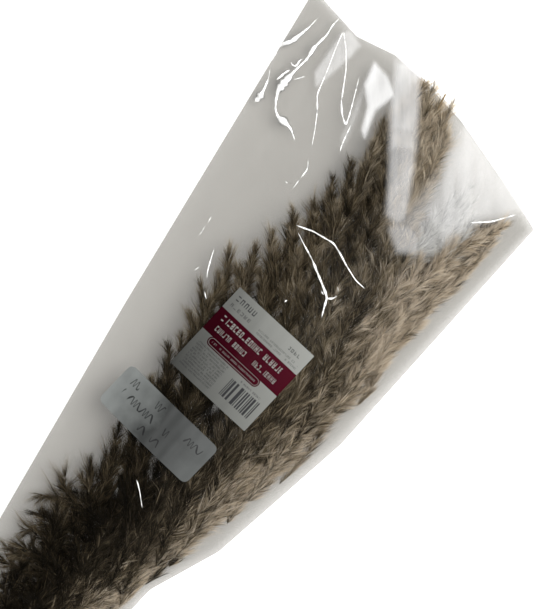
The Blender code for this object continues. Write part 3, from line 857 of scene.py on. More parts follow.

# How light the racemes are, as (y, tone); the left and middle plumes' low tones from y 0.02 to 0.10 are
# painted shadow of the label and the sticker
TONE = {
    "left": ((-0.18, 0.02), (-0.05, 0.03), (0.03, 0.10), (0.07, 0.13), (0.10, 0.26), (0.15, 0.41),
             (0.20, 0.47), (0.26, 0.42), (0.30, 0.56), (0.34, 0.56)),
    "middle": ((-0.13, 0.00), (-0.04, -0.08), (0.02, 0.03), (0.07, 0.10), (0.10, 0.23), (0.24, 0.33),
               (0.27, 0.62), (0.31, 0.94)),
    "right": ((-0.16, 0.36), (0.00, 0.33), (0.07, 0.34), (0.10, 0.27), (0.14, 0.38), (0.18, 0.66),
              (0.23, 0.84), (0.27, 1.08), (0.30, 1.25), (0.33, 1.30)),
    "pale": ((0.28, 0.92), (0.34, 0.98)),
}
# How light a hair is at its root, as painted shade deep in its tuft
ROOT_SHADE = {"left": 0.08, "middle": 0.16, "right": 0.18, "pale": 0.22}

# How much darker a plume is from its middle to its right side, as (y, tone), mostly painted shade where it
# meets the next plume, and how much lighter the right plume's outer side is towards its foot
SIDE_TONE = {
    "left": ((0.0, 0.20),),
    "middle": ((0.02, -0.16), (0.14, 0.06), (0.28, 0.12)),
    "right": ((0.14, -0.32), (0.20, -0.24), (0.25, 0.12)),
    "pale": ((0.0, 0.0),),
}
OUTER_TONE = ((-0.06, 0.24), (0.06, 0.08), (0.12, 0.0))
UNRULY_TONE = 0.62

# How much whole racemes, tufts and hairs differ in tone, the tufts more towards the plumes' tips
RACEME_DIFFER = 0.08
TUFT_DIFFER = 0.11
CONTRAST = {"left": 1.0, "middle": 1.1, "right": 2.5, "pale": 1.8}
RACEME_CONTRAST_LIMIT = 1.3
TIP_CONTRAST = ((0.16, 1.0), (0.22, 1.6), (0.29, 2.4))
HAIR_CONTRAST = {"left": 0.19, "middle": 0.21, "right": 0.32, "pale": 0.30}

# The most that a tuft is darker than its plume there, as (y, tone), and how much less at the plume's sides
DARKEST = ((0.18, -0.50), (0.24, -1.0))
DARKEST_AT_SIDES = 0.35

# Tips of the pale racemes in the fork between the middle and the right plume, as (x, y).
PALE_ENDS = ((0.056, 0.294), (0.060, 0.304), (0.058, 0.314), (0.064, 0.328), (0.066, 0.316),
             (0.071, 0.320), (0.072, 0.308), (0.077, 0.311))
PALE_DEPTH = 0.006
TIP_SETBACK = {"left": 0.008, "middle": 0.008, "right": 0.001}


def raceme_ends(stem, rng):
    """Evenly scattered tips of the side branches: how far across (-1 to 1), whether deep down, and places."""
    plume = PLUMES[stem]
    count = RACEMES[stem]
    grid = np.linspace(plume["foot"] + FOOT_SPACE, STEM_LINES[stem][-1][0] - TIP_SETBACK[stem], 400)
    width = np.cumsum(at(plume["right"], grid) - at(plume["left"], grid) + LEAST_WIDTH)
    y = np.interp((np.arange(count) + 0.5) / count * width[-1], width, grid)
    across = ACROSS_SHARE * (2 * ((np.arange(count) * GOLDEN_RATIO) % 1) - 1)
    if stem == "right":
        across = across * 0.98 - 0.02
    level = (np.arange(count) * PLASTIC_RATIO + 0.3) % 1
    near = SURFACE_UP + (1 - SURFACE_UP) * level / SURFACE_SHARE
    deep = SURFACE_UP + (DEEPEST_UP - SURFACE_UP) * (level - SURFACE_SHARE) / (1 - SURFACE_SHARE)
    up = np.where(level < SURFACE_SHARE, near, deep)
    y = y + rng.uniform(-SCATTER_ALONG, SCATTER_ALONG, count)
    return across, level >= SURFACE_SHARE, room_point(plume, y, across, up)


def raceme_path(end, turn, rng):
    """A side branch that leaves its stem's way and ends at a place, turned by so many degrees."""
    s = np.linspace(0.0, 1.0, NODES_PER_RACEME)
    length = RACEME_LENGTH * rng.uniform(*RACEME_LENGTHS)
    angle = np.radians(turn) * s ** 0.8
    step = np.stack((-np.sin(angle), np.cos(angle)), 1) * length / (NODES_PER_RACEME - 1)
    flat = end[:2] - (np.cumsum(step[::-1], axis=0)[::-1] - step)
    height = end[2] - RACEME_RISE * (1 - s) ** 1.5
    sway = np.sin(s * 6 + rng.uniform(0, 6))[:, None] * rng.uniform(-RACEME_SWAY, RACEME_SWAY, 2)
    return np.column_stack((flat + sway, height))


def raceme_paths(stem, rng):
    """A plume's side branches: places along each, how unruly it is, how far across it ends, and if deep."""
    paths = []
    for side, deep, end in zip(*raceme_ends(stem, rng)):
        unruly = min(1.0, max(0.0, (UNRULY_Y - end[1]) / UNRULY_FADE)) if stem == "left" else 0.0
        turn = at(LEAN[stem], end[1]) + rng.normal(0, LEAN_SPREAD + UNRULY_SPREAD * unruly)
        turn += UNRULY_LEAN * unruly * max(0.0, -side)
        if stem == "right":
            turn -= RIGHT_SPLAY * max(0.0, side)
        paths.append((raceme_path(end, turn, rng), unruly, side, deep))
    return paths


def pale_paths(rng):
    """The pale racemes in the fork, high under the film."""
    paths = []
    for x, y in PALE_ENDS:
        end = np.array((x, y, float(ceiling(x, y)) - PALE_DEPTH))
        paths.append((raceme_path(end, rng.normal(PALE_LEAN, PALE_SPREAD), rng), 0.0, 0.0, False))
    return paths


# The deep tufts' hairs are wider, so that they close the gaps, but not near the plume's sides.
WIDE_HAIR = 2.2
WIDE_REACH = 0.62
# How much darker a covered raceme is, as painted shade under the racemes above it
DEEP_PAINTED_SHADE = {"left": 0.12, "middle": 0.13, "right": 0.26, "pale": 0.0}

# How far the tufts wind round their raceme, how deep a tuft's root is sunk, and how much its hairs curl
SPIRAL = 47
SUNK = 0.15
CURL = 0.15

# How much the tufts' opening and length differ, how much less both are at a raceme's tip, and how much more
# the unruly tufts open and frizz
OPENINGS = (0.4, 1.5)
TUFT_LENGTHS = (0.75, 1.2)
TIP_CLOSING = 0.4
TIP_SHORTENING = 0.35
UNRULY_OPENING = 1.2
UNRULY_FRIZZ = 1.6
FINE_WIDTH = 0.8


def hair_sorts(settings, rng):
    """Kinds of tuft with bent hairs and with fine ones, each usual and then wide, and a bent hair's faces."""
    hair, quad, point = model_hair()
    hair = hair * (settings.hair_width / settings.tuft_length, 1.0, 1.0)
    order = model_order(quad, point)
    fine = hair[[int(np.where(order == place)[0][0]) for place in (0, 1, 4)]] * (FINE_WIDTH, 1.0, 1.0)
    wide = (WIDE_HAIR, 1.0, 1.0)
    bent_kinds = np.concatenate((model_tufts(hair, BENT_HAIRS, LOCKED_HAIRS, rng),
                                 model_tufts(hair * wide, BENT_HAIRS, LOCKED_HAIRS, rng)))
    fine_kinds = np.concatenate((model_tufts(fine, FINE_HAIRS, 0, rng),
                                 model_tufts(fine * wide, FINE_HAIRS, 0, rng)))
    return (bent_kinds, fine_kinds), quad, point, order


def raceme_tone(stem, path, unruly, across, covered, rng):
    """How much lighter than its plume one raceme is."""
    tone = rng.normal(0, RACEME_DIFFER) * min(RACEME_CONTRAST_LIMIT, CONTRAST[stem])
    tone += UNRULY_TONE * unruly * max(0.0, -across)
    if stem == "right":
        tone += at(OUTER_TONE, path[-1, 1]) * max(0.0, across)
    # Painted shade: the side tone darkens a plume mostly where it meets the next one, and the deep tone
    # darkens covered racemes
    return tone - (at(SIDE_TONE[stem], path[-1, 1]) * across + DEEP_PAINTED_SHADE[stem] * covered)


def raceme_tufts(stem, settings, raceme, rng):
    """The tufts along one raceme: rows of their roots, ways, lengths, tones, frizz and whether covered."""
    path, unruly, across, deep = raceme
    tangent = unit(np.gradient(path, axis=0))
    share = np.linspace(0, 1, len(path))
    covered = deep and abs(across) < WIDE_REACH
    own_tone = raceme_tone(stem, path, unruly, across, covered, rng)
    tufts = PALE_TUFTS_PER_NODE if stem == "pale" else TUFTS_PER_NODE
    rows = []
    for k in range(tufts):
        angle = share * SPIRAL + k * 2 * math.pi / tufts + rng.uniform(-0.5, 0.5, len(path))
        side = unit(np.cross(tangent, (0.0, 0.0, 1.0)))
        over = np.cross(side, tangent)
        radial = side * np.cos(angle)[:, None] + over * np.sin(angle)[:, None]
        open_by = settings.opening * rng.uniform(*OPENINGS, len(path)) * (1 - TIP_CLOSING * share ** 3)
        open_by = open_by * (1 + UNRULY_OPENING * unruly)
        way = tangent * np.cos(open_by)[:, None] + radial * np.sin(open_by)[:, None]
        size = settings.tuft_length * rng.uniform(*TUFT_LENGTHS, len(path))
        size = size * (1 - TIP_SHORTENING * share ** 4)
        differ = rng.normal(0, TUFT_DIFFER * CONTRAST[stem], len(path)) * at(TIP_CONTRAST, path[:, 1])
        differ = np.maximum(differ, at(DARKEST, path[:, 1]) + DARKEST_AT_SIDES * abs(across))
        tone = at(TONE[stem], path[:, 1]) + own_tone + differ
        frizz = rng.normal(0, 1 + UNRULY_FRIZZ * unruly, (len(path), 3))
        rows.append((path - tangent * (size * SUNK)[:, None], way, size, tone, frizz,
                     np.full(len(path), int(covered))))
    return rows


def plume_hairs(stem, settings):
    """A plume's bent and fine hairs: for each sort, (n, hairs, points, 3) places and a tone for each hair."""
    rng = np.random.default_rng(HAIR_SEEDS[stem])
    sorts, quad, point, order = hair_sorts(settings, rng)
    racemes = pale_paths(rng) if stem == "pale" else raceme_paths(stem, rng)
    rows = [row for raceme in racemes for row in raceme_tufts(stem, settings, raceme, rng)]
    bases, ways, sizes, tones, frizz, covered = (np.concatenate(column) for column in zip(*rows))
    count = len(bases)
    pick = rng.integers(0, TUFT_KINDS, count) + TUFT_KINDS * covered
    roll = rng.uniform(0, 2 * math.pi, count)
    side = unit(np.cross(ways, rng.normal(0, 1, (count, 3))))
    over = np.cross(ways, side)
    x_axis = side * np.cos(roll)[:, None] + over * np.sin(roll)[:, None]
    z_axis = np.cross(x_axis, ways)
    placed = []
    for kinds in sorts:
        local = kinds[pick]
        places = (local[..., 0:1] * x_axis[:, None, None] + local[..., 1:2] * ways[:, None, None]
                  + local[..., 2:3] * z_axis[:, None, None])
        curl = (local[..., 1:2] ** 2) * frizz[:, None, None] * CURL
        places = keep_inside(bases[:, None, None] + (places + curl) * sizes[:, None, None, None], rng)
        tone = tones[:, None] + rng.normal(0, HAIR_CONTRAST[stem], places.shape[:2])
        placed.append((places, np.clip(tone, 0.02, 0.98)))
    return placed, quad, point, order


# The least room between the hairs and the film above and below, and how much deeper the hairs may lie
ROOM_ABOVE = 0.0006
DEPTH_ABOVE = 0.0035
ROOM_BELOW = 0.0003
DEPTH_BELOW = 0.0020


def keep_inside(places, rng):
    """Presses hairs down under the upper film and up off the lower one, each to its own depth."""
    slack = rng.uniform(0.0, 1.0, places.shape[:2])[..., None]
    x, y = places[..., 0], places[..., 1]
    share = sleeve_share(x, y)
    beyond = np.maximum(0, np.abs(share) - EDGE_SHARE) / EDGE_ROOM
    inner = np.sign(share) * (np.minimum(np.abs(share), EDGE_SHARE) + EDGE_ROOM * (1 - np.exp(-beyond)))
    left, right = at(LEFT_EDGE, y), at(RIGHT_EDGE, y)
    x = (inner * (right - left) + left + right) / 2
    high = film_skin(x, y) - ROOM_ABOVE - DEPTH_ABOVE * slack
    low = floor(x, y) + ROOM_BELOW + DEPTH_BELOW * slack
    places[..., 0] = x
    places[..., 2] = np.minimum(np.maximum(places[..., 2], low), np.maximum(high, low))
    return places


MAX_TRIANGLES = 190000
TUFT_TRIANGLES = 3 * BENT_HAIRS + FINE_HAIRS


def build_plume(stem, settings, material, node):
    """A plume in as many like pieces as its triangles need."""
    (bent, fine), quad, point, order = plume_hairs(stem, settings)
    pieces = math.ceil(len(bent[0]) * TUFT_TRIANGLES / MAX_TRIANGLES)
    rise = np.array([0.0, 0.0, 0.5, 0.5, 1.0])[order]
    parts = [np.array_split(array, pieces) for array in (*bent, *fine)]
    for index, (bent_places, bent_tone, fine_places, fine_tone) in enumerate(zip(*parts)):
        bent_count, fine_count = bent_tone.size, fine_tone.size
        bent_start = np.arange(bent_count)[:, None] * 5
        fine_start = bent_count * 5 + np.arange(fine_count)[:, None] * 3
        verts = np.concatenate((bent_places.reshape(-1, 3), fine_places.reshape(-1, 3)))
        uv = np.concatenate((strand_map(bent_tone, rise), strand_map(fine_tone, np.array([0.0, 0.0, 1.0]))))
        piece = new_mesh_piece(f"{stem}_plume_{index + 1}", verts,
                               [bent_start + quad, bent_start + point, fine_start + np.arange(3)], uv)
        piece.data.materials.append(material)
        settle(piece, node)


def strand_map(tone, rise):
    """Each hair's own strip of the map: its tone across, and how far up it each vertex is."""
    sides = np.resize([-1.0, 1.0], len(rise))
    sides[rise == 1.0] = 0.0
    across = tone.reshape(-1)[:, None] + 0.004 * sides
    up = np.broadcast_to(0.01 + 0.98 * rise, across.shape)
    return np.stack((across, up), -1).reshape(-1, 2)


def model_order(quad, point):
    """For each of the hair's five vertices, its place in root-to-tip order."""
    tip = next(i for i in point if i not in quad)
    middle = [i for i in point if i != tip]
    root = [i for i in quad if i not in middle]
    order = np.empty(5, int)
    for place, vertex in enumerate((*root, *middle, tip)):
        order[vertex] = place
    return order


# Film

AROUND = 156
TOP_PART = 0.80
ALONG = 204
MOUTH_DENSITY = 1.6
MOUTH_POWER = 6
SEAM_SHARE = 0.0001
RIM_SHARE = 0.0004


def film_place(around, along):
    """A point of the sleeve's outer skin: around runs over the top and back below, along foot to mouth."""
    over_top = around <= TOP_PART
    t = np.where(over_top, 1 - around / TOP_PART, (around - TOP_PART) / (1 - TOP_PART))
    left_y = SLEEVE_FOOT_Y + (MOUTH_LEFT_Y - SLEEVE_FOOT_Y) * along
    right_y = SLEEVE_FOOT_Y + (MOUTH_RIGHT_Y - SLEEVE_FOOT_Y) * along
    left, right = at(LEFT_EDGE, left_y), at(RIGHT_EDGE, right_y)
    x = left + (right - left) * t
    y = left_y + (right_y - left_y) * t + at(MOUTH_WAVE, t) * along ** MOUTH_POWER
    edge = (t < SEAM_SHARE) | (t > 1 - SEAM_SHARE)
    top = np.where(edge, film_under(x, y), film_skin(x, y))
    return np.stack((x, y, np.where(over_top, top, film_under(x, y))), -1)


def build_film(settings):
    """A grid bent round into a flat tube, welded along its side and given its thickness."""
    deselect_all()
    bpy.ops.mesh.primitive_grid_add(x_subdivisions=AROUND, y_subdivisions=ALONG, size=2)
    piece = bpy.context.object
    piece.name = "sleeve_film"
    co = positions(piece)
    along = 1 - ((1 - co[:, 1]) / 2) ** MOUTH_DENSITY
    set_positions(piece, film_place((co[:, 0] + 1) / 2, along))
    rim = piece.data.attributes.new("rim", "FLOAT", "POINT")
    rim.data.foreach_set("value", (np.minimum(along, 1 - along) < RIM_SHARE).astype(np.float32))
    take(piece)
    edit_all()
    bpy.ops.mesh.remove_doubles(threshold=0.00005)
    bpy.ops.mesh.normals_make_consistent(inside=False)
    bpy.ops.object.mode_set(mode="OBJECT")
    apply_modifier(piece, "SOLIDIFY", thickness=FILM_SKIN, offset=-1.0)
    bpy.ops.object.shade_smooth_by_angle(angle=math.radians(50))
    paint_glare(piece)
    piece.data.materials.append(film_material(settings))
    settle(piece, "film_sleeve")


# Patches of painted glare where the film's facets mirror the light, as (outline in millimetres, softness of
# its edge in millimetres, strength)
PAINTED_GLARE_PATCHES = (
    (((-38, 371), (-16, 335), (10, 298), (25, 275), (35, 273), (39, 279), (21, 313), (1, 345), (-23, 380)),
     3.5, 0.17),
    (((-33, 371), (-14, 337), (13, 299), (26, 280), (29, 281), (16, 302), (-10, 340), (-29, 374)), 2.5, 0.19),
    (((-29, 374), (-5, 340), (18, 308), (35, 280), (39, 279), (21, 313), (1, 345), (-23, 380)), 2.5, 0.17),
    (((-38, 371), (-16, 335), (-10, 327), (7, 335), (1, 345), (-23, 380)), 4.0, 0.28),
    (((-38, 371), (-16, 335), (-1, 314), (14, 325), (1, 345), (-23, 380)), 4.0, 0.23),
    (((-50, 361), (-36, 358), (-23, 350), (-28, 332), (-22, 311), (-27, 314), (-34, 331), (-46, 343)),
     2.0, 0.44),
    (((-50, 359), (-46, 343), (-38, 324), (-31, 296), (-35, 300), (-42, 329)), 3.0, 0.16),
    (((-79, 369), (-66, 365), (-67, 353), (-71, 333), (-74, 320), (-81, 328), (-82, 348), (-83, 364)),
     1.8, 0.16),
    (((28, 368), (46, 309), (48, 292), (71, 282), (80, 307), (104, 338), (90, 348), (45, 361)), 7.0, 0.16),
    (((33, 272), (51, 262), (66, 270), (80, 300), (92, 330), (60, 345), (38, 330), (38, 300)), 7.0, 0.08),
    (((33, 267), (35, 274), (45, 279), (55, 275), (61, 265), (48, 257)), 3.0, 0.13),
)
PAINTED_GLARE_HEIGHT = 0.0015


def line_distance(x, y, line):
    """Distance in millimetres from places to a line of places."""
    best = np.full(x.shape, 1e9)
    for (ax, ay), (bx, by) in zip(line, line[1:]):
        dx, dy = bx - ax, by - ay
        t = np.clip(((x - ax) * dx + (y - ay) * dy) / (dx * dx + dy * dy), 0, 1)
        best = np.minimum(best, np.hypot(x - ax - t * dx, y - ay - t * dy))
    return best


def patch_strength(x, y, outline, softness):
    """1 well inside an outline, 0 outside and a soft step between, for places in millimetres."""
    closed = outline + outline[:1]
    inside = np.zeros(x.shape, bool)
    for (ax, ay), (bx, by) in zip(closed, closed[1:]):
        if ay != by:
            inside ^= ((ay > y) != (by > y)) & (x < (bx - ax) * (y - ay) / (by - ay) + ax)
    distance = np.where(inside, 1.0, -1.0) * line_distance(x, y, closed)
    step = np.clip(0.5 + distance / (2 * softness), 0, 1)
    return step * step * (3 - 2 * step)


def paint_glare(piece):
    """Gives the film's upper side its attribute of painted glare."""
    co = positions(piece)
    x, y = co[:, 0] * 1000, co[:, 1] * 1000
    painted_glare = np.zeros(len(co))
    above = co[:, 2] > film_under(co[:, 0], co[:, 1]) + PAINTED_GLARE_HEIGHT
    for outline, softness, strength in PAINTED_GLARE_PATCHES:
        painted_glare = np.maximum(painted_glare, patch_strength(x, y, outline, softness) * strength * above)
    layer = piece.data.attributes.new("painted_glare", "FLOAT", "POINT")
    layer.data.foreach_set("value", painted_glare.astype(np.float32))


# Creases of the film, painted white as highlights, as places and half widths along each, in millimetres
CREASES = (
    ((-104, 363, 0.2), (-105, 353, 0.6), (-109, 337, 2.6), (-113, 331, 2.2), (-114, 327, 0.4)),
    ((-114, 326, 0.3), (-113, 322, 0.7), (-112, 315, 0.2)),
    ((-91, 372, 0.4), (-92, 364, 1.1), (-91, 356, 0.7), (-93, 343, 2.0), (-92, 333, 1.1), (-94, 321, 1.2),
     (-95, 308, 4.6), (-95, 301, 2.2), (-92, 294, 1.0), (-88, 288, 1.1), (-83, 285, 1.6), (-78, 285, 4.2),
     (-71, 284, 1.1), (-66, 281, 0.7), (-62, 278, 0.3)),
    ((-101, 324, 0.6), (-97, 322, 1.0), (-95, 324, 0.8), (-96, 329, 1.0), (-94, 332, 0.4)),
    ((-101, 306, 0.6), (-100, 310, 1.3), (-99, 315, 1.5), (-97, 319, 0.4)),
    ((-91, 314, 0.4), (-88, 318, 0.9), (-85, 322, 0.3)),
    ((-110, 311, 0.2), (-106, 303, 0.6), (-104, 295, 1.3), (-103, 289, 3.4), (-104, 283, 0.4)),
    ((-83, 366, 0.6), (-80, 353, 0.4), (-75, 336, 0.4), (-70, 316, 0.9), (-63, 307, 0.6), (-56, 295, 0.5),
     (-49, 281, 0.3)),
    ((-46, 273, 0.3), (-42, 267, 0.7), (-42, 258, 0.6)),
    ((-83, 366, 0.6), (-73, 356, 0.4), (-64, 344, 0.5), (-52, 322, 0.7), (-46, 315, 1.0), (-39, 310, 1.1),
     (-41, 317, 1.0), (-45, 327, 0.6), (-53, 346, 0.2)),
    ((-30, 291, 0.2), (-32, 295, 0.5), (-34, 303, 0.6), (-36, 313, 0.3)),
    ((-20, 225, 0.2), (-10, 220, 0.5), (1, 215, 0.8), (11, 209, 1.1), (21, 203, 1.3), (27, 199, 1.6),
     (30, 191, 1.0), (33, 184, 0.2)),
    ((26, 198, 1.0), (30, 200, 0.9), (32, 203, 1.4), (32, 205, 0.4)),
    ((28, 210, 0.2), (30, 209, 0.6), (31, 207, 0.2)),
    ((20, 201, 0.2), (21, 200, 0.7), (24, 199, 0.4)),
    ((-24, 228, 0.3), (-17, 230, 1.0), (-11, 232, 0.6), (7, 234, 0.9), (17, 230, 0.8), (23, 227, 0.6),
     (36, 222, 0.6), (46, 221, 0.2)),
    ((-78, 197, 0.2), (-78, 193, 0.4), (-77, 190, 0.2)),
    ((-78, 188, 0.2), (-77, 184, 0.4), (-77, 178, 0.2)),
    ((-62, 178, 0.2), (-58, 167, 0.7), (-55, 160, 0.4), (-52, 156, 0.2)),
    ((-64, 155, 0.2), (-63, 159, 0.6), (-62, 161, 0.2)),
    ((-49, 149, 0.2), (-45, 145, 0.9), (-43, 144, 0.2)),
    ((-42, 258, 0.4), (-42, 254, 0.7), (-42, 248, 0.2)),
    ((-50, 249, 0.3), (-49, 250, 0.7), (-47, 249, 0.2)),
    ((4, 177, 0.2), (4, 179, 0.8), (5, 180, 0.2)),
    ((-5, 7, 0.3), (-3, 6, 0.8), (3, 1, 0.4), (12, -8, 0.2)),
    ((78, 307, 0.3), (84, 312, 0.6), (91, 318, 0.8), (97, 326, 0.5), (103, 334, 0.3)),
)


CREASE_SEED = 11
CREASE_SHARE = 0.95
CREASE_STEP = 0.0009
CREASE_LIFT = 0.00012
CREASE_RISE = 0.45


def crease_rows(line, rng):
    """Evenly spaced places along a crease, and its half width at each, ragged and drawn in at its ends."""
    points = np.array(line, float) / 1000
    lengths = np.concatenate([[0], np.cumsum(np.linalg.norm(np.diff(points[:, :2], axis=0), axis=1))])
    count = max(8, int(lengths[-1] / CREASE_STEP))
    s = np.linspace(0, lengths[-1], count)
    kernel = np.ones(5) / 5
    x, y, width = (np.convolve(np.pad(np.interp(s, lengths, points[:, i]), 2, "edge"), kernel, "valid")
                   for i in range(3))
    ragged = np.convolve(rng.uniform(0.45, 1.55, count + 2), np.ones(3) / 3, "valid")
    from_ends = np.minimum(np.arange(count), np.arange(count)[::-1])
    return x, y, width * CREASE_SHARE * ragged * np.clip(from_ends / 3, 0.05, 1)


def build_creases():
    """Low ridges along each crease, a hair's breadth above the film, that carry its painted highlight."""
    rng = np.random.default_rng(CREASE_SEED)
    verts, faces, cores, start = [], [], [], 0
    for line in CREASES:
        x, y, width = crease_rows(line, rng)
        count = len(x)
        way = unit(np.stack((np.gradient(x), np.gradient(y)), 1))
        side = np.stack((way[:, 1], -way[:, 0]), 1)
        ring = []
        for across, lift in ((-1, 0.0), (0, 1.0), (1, 0.0), (0, -0.25)):
            px, py = x + side[:, 0] * width * across, y + side[:, 1] * width * across
            pz = film_skin(px, py) + CREASE_LIFT + lift * np.clip(width * CREASE_RISE, 0.0001, 0.0004)
            ring.append(np.stack((px, py, pz), 1))
        verts.append(np.stack(ring, 1).reshape(-1, 3))
        cores.append(np.tile((0.0, 1.0, 0.0, 1.0), count))
        base = start + np.arange(count - 1)[:, None] * 4
        for k in range(4):
            j = (k + 1) % 4
            faces.append(np.concatenate((base + k, base + 4 + k, base + 4 + j, base + j), 1))
        faces.append(start + np.array([[0, 1, 2, 3]]))
        faces.append(start + (count - 1) * 4 + np.array([[3, 2, 1, 0]]))
        start += count * 4
    piece = new_mesh_piece("film_creases", np.concatenate(verts), faces)
    layer = piece.data.attributes.new("core", "FLOAT", "POINT")
    layer.data.foreach_set("value", np.concatenate(cores).astype(np.float32))
    take(piece)
    edit_all()
    bpy.ops.mesh.normals_make_consistent(inside=False)
    bpy.ops.object.mode_set(mode="OBJECT")
    bpy.ops.object.shade_smooth()
    piece.data.materials.append(crease_highlight_material())
    settle(piece, "film_sleeve")


# Papers

LABEL_MIDDLE = (0.0043, 0.1249)
LABEL_TURN = math.radians(-6.0)
LABEL_RATIO = 1.013
STICKER_MIDDLE = (-0.0164, 0.0490)
STICKER_SIZE = (0.0900, 0.0365)
STICKER_TURN = math.radians(-7.0)
STICKER_CORNER = 0.0045
PAPER_THICKNESS = 0.0003
PAPER_LIFT = 0.0004


def map_face(piece):
    """Maps a unit square flat, before it gets its size."""
    layer = piece.data.uv_layers.new(name="Face")
    loops = np.empty(len(piece.data.loops), np.int32)
    piece.data.loops.foreach_get("vertex_index", loops)
    layer.uv.foreach_set("vector", (positions(piece)[loops][:, :2] + 0.5).astype(np.float32).ravel())


def start_paper(name, columns, rows, width, height):
    """A flat grid of a paper's size, with its own map from 0 to 1 each way."""
    deselect_all()
    bpy.ops.mesh.primitive_grid_add(x_subdivisions=columns, y_subdivisions=rows, size=1)
    piece = bpy.context.object
    piece.name = name
    map_face(piece)
    edit_all()
    bpy.ops.transform.resize(value=(width, height, 1.0))
    bpy.ops.object.mode_set(mode="OBJECT")
    return piece


def lay_paper(piece, turn, middle, material, node):
    """Turns a flat paper, lays it on the upper film and gives it its thickness."""
    take(piece)
    edit_all()
    bpy.ops.transform.rotate(value=-turn, orient_axis="Z", center_override=(0, 0, 0))
    bpy.ops.transform.translate(value=(*middle, 0.0))
    bpy.ops.object.mode_set(mode="OBJECT")
    co = positions(piece)
    co[:, 2] = film_skin(co[:, 0], co[:, 1]) + PAPER_LIFT
    set_positions(piece, co)
    apply_modifier(piece, "SOLIDIFY", thickness=PAPER_THICKNESS, offset=1.0)
    piece.data.materials.append(material)
    settle(piece, node)


def build_label(settings):
    """The nearly square card."""
    size = settings.label_size
    piece = start_paper("printed_label", 32, 32, size, size * LABEL_RATIO)
    lay_paper(piece, LABEL_TURN, LABEL_MIDDLE, label_material(settings), "product_label")


def build_sticker(settings):
    """The long sticker with round corners."""
    piece = start_paper("white_sticker", 60, 24, *STICKER_SIZE)
    round_corners(piece)
    lay_paper(piece, STICKER_TURN, STICKER_MIDDLE, sticker_material(settings), "plain_sticker")


def round_corners(piece):
    """Pulls a grid's four corners in onto quarter circles."""
    co = positions(piece)
    half = np.array(STICKER_SIZE) / 2 - STICKER_CORNER
    flat = co[:, :2]
    beyond = np.maximum(np.abs(flat) - half, 0)
    square = np.maximum(beyond.max(1), 1e-9)
    round_ = np.maximum(np.hypot(beyond[:, 0], beyond[:, 1]), 1e-9)
    co[:, :2] = np.sign(flat) * (np.minimum(np.abs(flat), half) + beyond * (square / round_)[:, None])
    set_positions(piece, co)


# Stage

PHOTO_MIDDLE = (0.0023, 0.1740)
PHOTO_HEIGHT = 609 * 0.00075
CAMERA_TURN = math.radians(37)
SENSOR_WIDTH = 36.0
FLOOR_SIZE = 14.0
FLOOR_DROP = 0.0002

# The key light's place to the picture's right and up from its aim, its height, its aim and its sides
KEY_OFFSET = (1.15, 0.15)
KEY_HEIGHT = 2.30
KEY_AIM = (0.0, 0.17, 0.0)
KEY_SIZE = 2.2
WORLD_STRENGTH = 0.50


def add_key_light(power):
    """A large square light that is aimed at the bundle."""
    x, y = picture_way(*KEY_OFFSET)
    deselect_all()
    bpy.ops.object.light_add(type="AREA", location=(x + KEY_AIM[0], y + KEY_AIM[1], KEY_HEIGHT))
    light = bpy.context.object
    light.name = "key_light"
    light.data.shape = "RECTANGLE"
    light.data.size, light.data.size_y = KEY_SIZE, KEY_SIZE
    light.data.energy = power
    way = np.array(KEY_AIM) - np.array(light.location)
    light.rotation_mode = "QUATERNION"
    light.rotation_quaternion = Vector(way).to_track_quat("-Z", "Y")


def picture_way(right, up):
    """A way in the picture, as one along the floor."""
    cos, sin = math.cos(CAMERA_TURN), math.sin(CAMERA_TURN)
    return right * cos - up * sin, right * sin + up * cos


def build_stage(settings):
    """The floor, the light, the soft surroundings and a camera straight above, turned as the photo is."""
    deselect_all()
    bpy.ops.mesh.primitive_plane_add(size=FLOOR_SIZE, location=(0, 0, -FLOOR_DROP))
    ground = bpy.context.object
    ground.name = "pale_floor"
    ground.data.materials.append(floor_material(settings))
    bpy.ops.object.transform_apply(location=True, rotation=True, scale=True)
    add_key_light(settings.key_power)
    world = bpy.data.worlds.new("soft_surroundings")
    world.use_nodes = True
    background = world.node_tree.nodes["Background"]
    background.inputs["Color"].default_value = (1.0, 1.0, 1.0, 1.0)
    background.inputs["Strength"].default_value = WORLD_STRENGTH
    bpy.context.scene.world = world
    distance = settings.camera_distance
    deselect_all()
    bpy.ops.object.camera_add(location=(*PHOTO_MIDDLE, distance), rotation=(0, 0, CAMERA_TURN))
    camera = bpy.context.object
    camera.data.sensor_width = SENSOR_WIDTH
    camera.data.lens = SENSOR_WIDTH * distance / PHOTO_HEIGHT
    camera.data.clip_end = 50.0
    scene = bpy.context.scene
    scene.camera = camera
    scene.view_settings.view_transform = "Standard"


# Operators

class BUNDLE_OT_culms(bpy.types.Operator):
    """Add the three culms, each going on as its plume's axis"""
    bl_idname = "bundle.culms"
    bl_label = "Culms"

    def execute(self, context):
        material = culm_material(context.scene.bundle_grass)
        for stem, slot in (("left", "grass_dark"), ("middle", "grass_mid"), ("right", "grass_light")):
            piece = grow_culm(stem)
            piece.data.materials.append(material)
            settle(piece, "grass_stem_" + stem)
        return {"FINISHED"}


class BUNDLE_OT_plumes(bpy.types.Operator):
    """Add the silky tufts of the three plumes"""
    bl_idname = "bundle.plumes"
    bl_label = "Plumes"

    def execute(self, context):
        settings = context.scene.bundle_grass
        for stem, slot, colour in (("left", "grass_dark", settings.left_colour),
                                   ("middle", "grass_mid", settings.middle_colour),
                                   ("right", "grass_light", settings.right_colour)):
            material = hair_material(stem + "_plume_hair", colour, ROOT_SHADE[stem])
            build_plume(stem, settings, material, "grass_stem_" + stem)
        material = hair_material("pale_plume_hair", settings.pale_colour, ROOT_SHADE["pale"])
        build_plume("pale", settings, material, "grass_stem_right")
        return {"FINISHED"}


